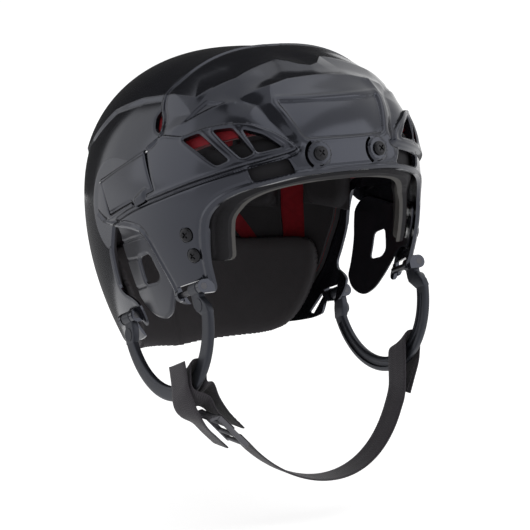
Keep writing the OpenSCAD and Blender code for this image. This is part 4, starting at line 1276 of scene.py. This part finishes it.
def smooth_route(points, steps=6):
    """A smooth line through the points of a route."""
    p = np.asarray(points, float)
    ends = np.concatenate([[2 * p[0] - p[1]], p, [2 * p[-1] - p[-2]]])
    found = []
    for k in range(1, len(ends) - 2):
        a, b, c, d = ends[k - 1:k + 3]
        gap = [max(np.linalg.norm(v[:2]) ** 0.5, 1e-6) for v in (b - a, c - b, d - c)]
        m1 = c - b + gap[1] * ((b - a) / gap[0] - (c - a) / (gap[0] + gap[1]))
        m2 = c - b + gap[1] * ((d - c) / gap[2] - (d - b) / (gap[1] + gap[2]))
        for t in np.linspace(0, 1, steps, endpoint=False):
            found.append((2 * t ** 3 - 3 * t ** 2 + 1) * b + (t ** 3 - 2 * t ** 2 + t) * m1
                         + (-2 * t ** 3 + 3 * t ** 2) * c + (t ** 3 - t ** 2) * m2)
    return np.array(found + [p[-1]])


def ribbon(name, route):
    """Webbing along [x, z, tilt] points, with its map in millimetres."""
    p = smooth_route(route)
    flat = p[:, :2]
    tangent = np.gradient(flat, axis=0)
    tangent /= np.linalg.norm(tangent, axis=1)[:, None]
    normal = np.stack([-tangent[:, 1], tangent[:, 0]], -1)
    length = np.concatenate([[0], np.cumsum(np.linalg.norm(np.diff(flat, axis=0), axis=1))])
    y = np.linspace(-1, 1, 15)
    y = np.sign(y) * np.abs(y) ** 0.8 * web_w / 2
    half = (0.45 + 0.55 * ease((web_w / 2 - np.abs(y)) / 1.6)) * web_t / 2
    rounds = [*zip(y, half), *zip(y[::-1], -half[::-1])]
    points, spots = [], []
    for (x, z), out, tilt, along in zip(flat, normal, p[:, 2], length):
        for v, d in rounds:
            points.append([x + d * out[0], strap_y + v, z + d * out[1] + tilt * rise(v)])
            spots.append((v, along))
    piece = tube(name, points, len(rounds))
    chart = piece.data.uv_layers.new(name="strap")
    for loop in piece.data.loops:
        chart.data[loop.index].uv = spots[loop.vertex_index]
    return piece


def bezier(points, t):
    a, b, c, d = (np.array(q, float) for q in points)
    return (1 - t) ** 3 * a + 3 * (1 - t) ** 2 * t * b + 3 * (1 - t) * t ** 2 * c + t ** 3 * d


# The way over a loop, from one side of its strip to the other
fold = [[-5.95, -5], [-5.95, 8.65], [-4.55, 10.25], [0, 10.65], [4.55, 10.25], [5.95, 8.65], [5.95, -5]]
main_curve = [near_pt(57, 2)[:2], [-9, -190], [62, -204], [79, -130]]
chin_route = [near_pt(48, 2)] + [[*bezier(main_curve, k / 19), 0] for k in range(20)]
chin_route += [[loop_x + x, strap_z + z, 1] for x, z in fold]
chin_route += [[loop_x + x, strap_z + z, tilt] for x, z, tilt in (
    [5.2, -10, 0.8], [1.4, -17.5, 0.3], [-1.6, -24, 0])]
anchor_route = [near_pt(46, -2.8), near_pt(30, -3), near_pt(18, -3.6, 0.3), near_pt(10, -5, 0.7)]
anchor_route += [[-loop_x - x, strap_z + z, 1] for x, z in fold]
anchor_route += [[x - loop_x, strap_z + z, tilt] for x, z, tilt in (
    [-5.2, -7.6, 1], [-2.4, -10.4, 1], [4, -12.2, 0.9])]
anchor_route += [near_pt(15, 2.6, 0.6), near_pt(21, 2.2, 0.1), near_pt(29, 2), near_pt(40, 2)]
tail_route = [[x - loop_x, z + strap_z, tilt] for x, z, tilt in (
    [-11, 15, 0.5], [-9, 2, 0.8], [-8.6, -5, 1], [-6.6, -11.4, 1], [-1.8, -19, 0.6], [6, -26.5, 0],
    [14, -34.5, 0], [22, -42, 0])]
for name, route in (("chin_strap", chin_route), ("strap_anchor", anchor_route), ("strap_tail", tail_route)):
    dress(ribbon(name, route), name + "_webbing", "strap", webbing, (name,), 40)

# %% Stitches
def stitch_places(path, y_values):
    """Seats for stitches on the outer face of a ribbon."""
    p = smooth_route(path, 4)
    found = []
    for k in range(1, len(p) - 1):
        along = p[k + 1][:2] - p[k - 1][:2]
        along /= np.linalg.norm(along)
        out = np.array([along[1], -along[0]])
        x, z = p[k][:2] + out * (web_t / 2 + 0.03)
        for y in y_values:
            turn = Matrix(((along[0], 0, out[0]), (0, 1, 0), (along[1], 0, out[1]))).to_4x4()
            found.append(moved(x, strap_y + y, z + p[k][2] * rise(y)) @ turn)
    return found


def stitch_form():
    """One stitch: a thread that dives into the webbing at both ends."""
    points = []
    for u in np.linspace(-1, 1, 7):
        z = 0.22 * (1 - u ** 4) - 0.25 * abs(u) ** 6
        points += [[1.15 * u, y, z + high] for y, high in disc(0.28, 6)]
    return tube("stitch", points, 6)


seats = stitch_places(chin_route[-3:], (-6.5, 0, 6.5)) + stitch_places(anchor_route[:4], (-6.5, 6.5))
sewn = copies("strap_stitches", stitch_form(), seats, thread)
dress(turn_out(sewn), "strap_stitches", "strap", thread)
print("stitches:", len(seats))

# %% [markdown]
# ## The buckle
#
# A nylon lever buckle: two side rails, three bars for the webbing and a ribbed tab that is
# lifted to let the strap run. Its edges are rounded as a moulding's are.

# %% Buckle
bar_level = -4.7
buckle_place = moved(-loop_x, strap_y, strap_z) @ rotation(45, "Y")
parts = [bevelled(box_mesh("rail", (24, y, -6.4), (55, y + 2.2, -3)), 0.6, 3) for y in (-12.1, 9.9)]
for x in (32, 44, 53.4):
    bar = lathe("bar", [[1.5, -10.6], [1.5, 10.6]], 24)
    parts.append(place(bar, moved(x, 0, bar_level) @ rotation(90, "X")))
tab = bevelled(box_mesh("tab", (-1, -11.4, -1), (6.5, 11.4, 1)), 0.5, 3)
for x in (1.5, 3.2, 4.9):
    carve(tab, bevelled(box_mesh("rib", (x, -9.9, -1.45), (x + 0.9, 9.9, 1.45)), 0.35), "UNION")
parts.append(place(tab, moved(24, 0, bar_level) @ rotation(125, "Y")))
buckle = place(joined(parts), buckle_place)
dress(buckle, "buckle_moulding", "strap", buckle_grey, ("buckle",), 40)

# %% [markdown]
# ## Bars and pins
#
# The bars that the loops turn on are dark plated steel. The latch pins and the inserts behind the
# shell are bright zinc. Their solids have the right shape and stay, with a better finish.

# %% Finishes of the solids that stay
for node in ("front_loop_bars", "rear_loop_bars", "latch_pins", "forehead_inserts", "side_inserts"):
    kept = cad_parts[node]
    kept.data.materials.clear()
    kept.data.materials.append(dark_steel if node.endswith("bars") else bright_steel)
print("solids kept: bars, pins and inserts")

# %% [markdown]
# ## The surroundings
#
# The picture was taken in a white studio. The shell mirrors white nearly everywhere, and two black
# cards behind the helmet, one upright and one on the floor, keep its crown and its rear flank
# black. A small dark card above the camera's left darkens the hollow beside the brow. A pale floor
# keeps the helmet's shadow, and three soft boxes light the shapes from plain sides.

# %% Floor
def white_where_seen(tree, strength):
    """A strength for rays that show the surroundings, as the camera, gloss or glass sees them."""
    seen = node_of(tree, "ShaderNodeLightPath", {})
    either = math_node(tree, "MAXIMUM", seen["Is Camera Ray"], seen["Is Glossy Ray"], True)
    shown = math_node(tree, "MAXIMUM", either, seen["Is Transmission Ray"], True)
    return math_node(tree, "MULTIPLY", shown, strength)


def flat_board(name, width, height, matt, glow):
    """A board that faces up, in a matt colour with a light of its own."""
    w, h = width / 2, height / 2
    board = make(name, [(-w, -h, 0), (w, -h, 0), (w, h, 0), (-w, h, 0)], [(0, 1, 2, 3)])
    finish, tree = material_of(name, {
        "Base Color": (matt, matt, matt, 1), "Roughness": 0.95, "Specular IOR Level": 0.0,
        "Emission Color": (1, 1, 1, 1), "Emission Strength": glow})
    board.data.materials.append(finish)
    return board, tree


floor, tree = flat_board("floor", 28000, 28000, 0.8, 0)
floor.location.z = -212 * MM
tree.links.new(white_where_seen(tree, 0.62), tree.nodes["Principled BSDF"].inputs["Emission Strength"])
floor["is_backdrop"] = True
print("floor at", round(floor.location.z, 3))


# %% Black cards
def facing(thing, at):
    """Stand something at a place in metres, turned towards the helmet."""
    thing.location = at
    thing.rotation_mode = "QUATERNION"
    thing.rotation_quaternion = (-Vector(at)).to_track_quat("-Z", "Y")


def black_card(name, towards, rise, away, width, height, value, flat=False):
    """A card that only gloss can see. Angles go round from the front, to the wearer's left."""
    card = flat_board(name, width, height, 0, value)[0]
    turn, lift = math.radians(towards), math.radians(rise)
    level = away * math.cos(lift)
    facing(card, (level * math.sin(turn), -level * math.cos(turn), away * math.sin(lift)))
    if flat:
        card.location.z = -208 * MM
        card.rotation_quaternion = Matrix.Rotation(turn, 3, "Z").to_quaternion()
    card.visible_camera = card.visible_diffuse = card.visible_shadow = False
    card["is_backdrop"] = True
    print(name, "at", [round(c, 2) for c in card.location])


black_card("rear card", 168, 25, 1.25, 1450, 1820, 0.05)
black_card("floor card", 166, 0, 0.86, 1300, 1100, 0.18, flat=True)
black_card("brow card", -58, 44, 1.2, 800, 700, 0.2)


# %% Lamps
def lamp(name, at, size, power):
    """A rectangular area lamp that points at the helmet. Places are in metres."""
    data = bpy.data.lights.new(name, "AREA")
    data.shape = "RECTANGLE"
    data.size, data.size_y = size
    data.energy = power
    light = bpy.data.objects.new(name, data)
    facing(light, at)
    bpy.context.scene.collection.objects.link(light)


lamp("soft box left", (-2.3, 1.2, 0.8), (2.2, 1.7), 8)
lamp("soft box right", (1.6, -2.0, 1.0), (1.9, 1.9), 14)
lamp("soft box above", (0.55, -0.5, 2.2), (2.0, 1.5), 7.5)

# %% World
world = bpy.data.worlds.new("studio")
world.use_nodes = True
tree = world.node_tree
tree.nodes.clear()
fill = node_of(tree, "ShaderNodeBackground", {"Color": (0.56, 0.56, 0.56, 1)})
room = node_of(tree, "ShaderNodeBackground", {"Color": (0.95, 0.95, 0.95, 1)})
blend = node_of(tree, "ShaderNodeMixShader", {"Fac": white_where_seen(tree, 1.0), 1: fill[0], 2: room[0]})
node_of(tree, "ShaderNodeOutputWorld", {"Surface": blend[0]})
bpy.context.scene.world = world
bpy.context.scene.view_settings.view_transform = "Standard"
print("world nodes:", len(tree.nodes))

# %% [markdown]
# ## The last check
# The finished model's box is set against the box of the solids, and how far it grew is printed.
# The finished model has to fill the same box as the solids.

# %% Bounds and finish
done_box = [[float(c) for c in corner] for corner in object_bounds()]
print("grew by (mm):", [[round((b - a) / MM, 1) for a, b in zip(*pair)] for pair in zip(cad_box, done_box)])
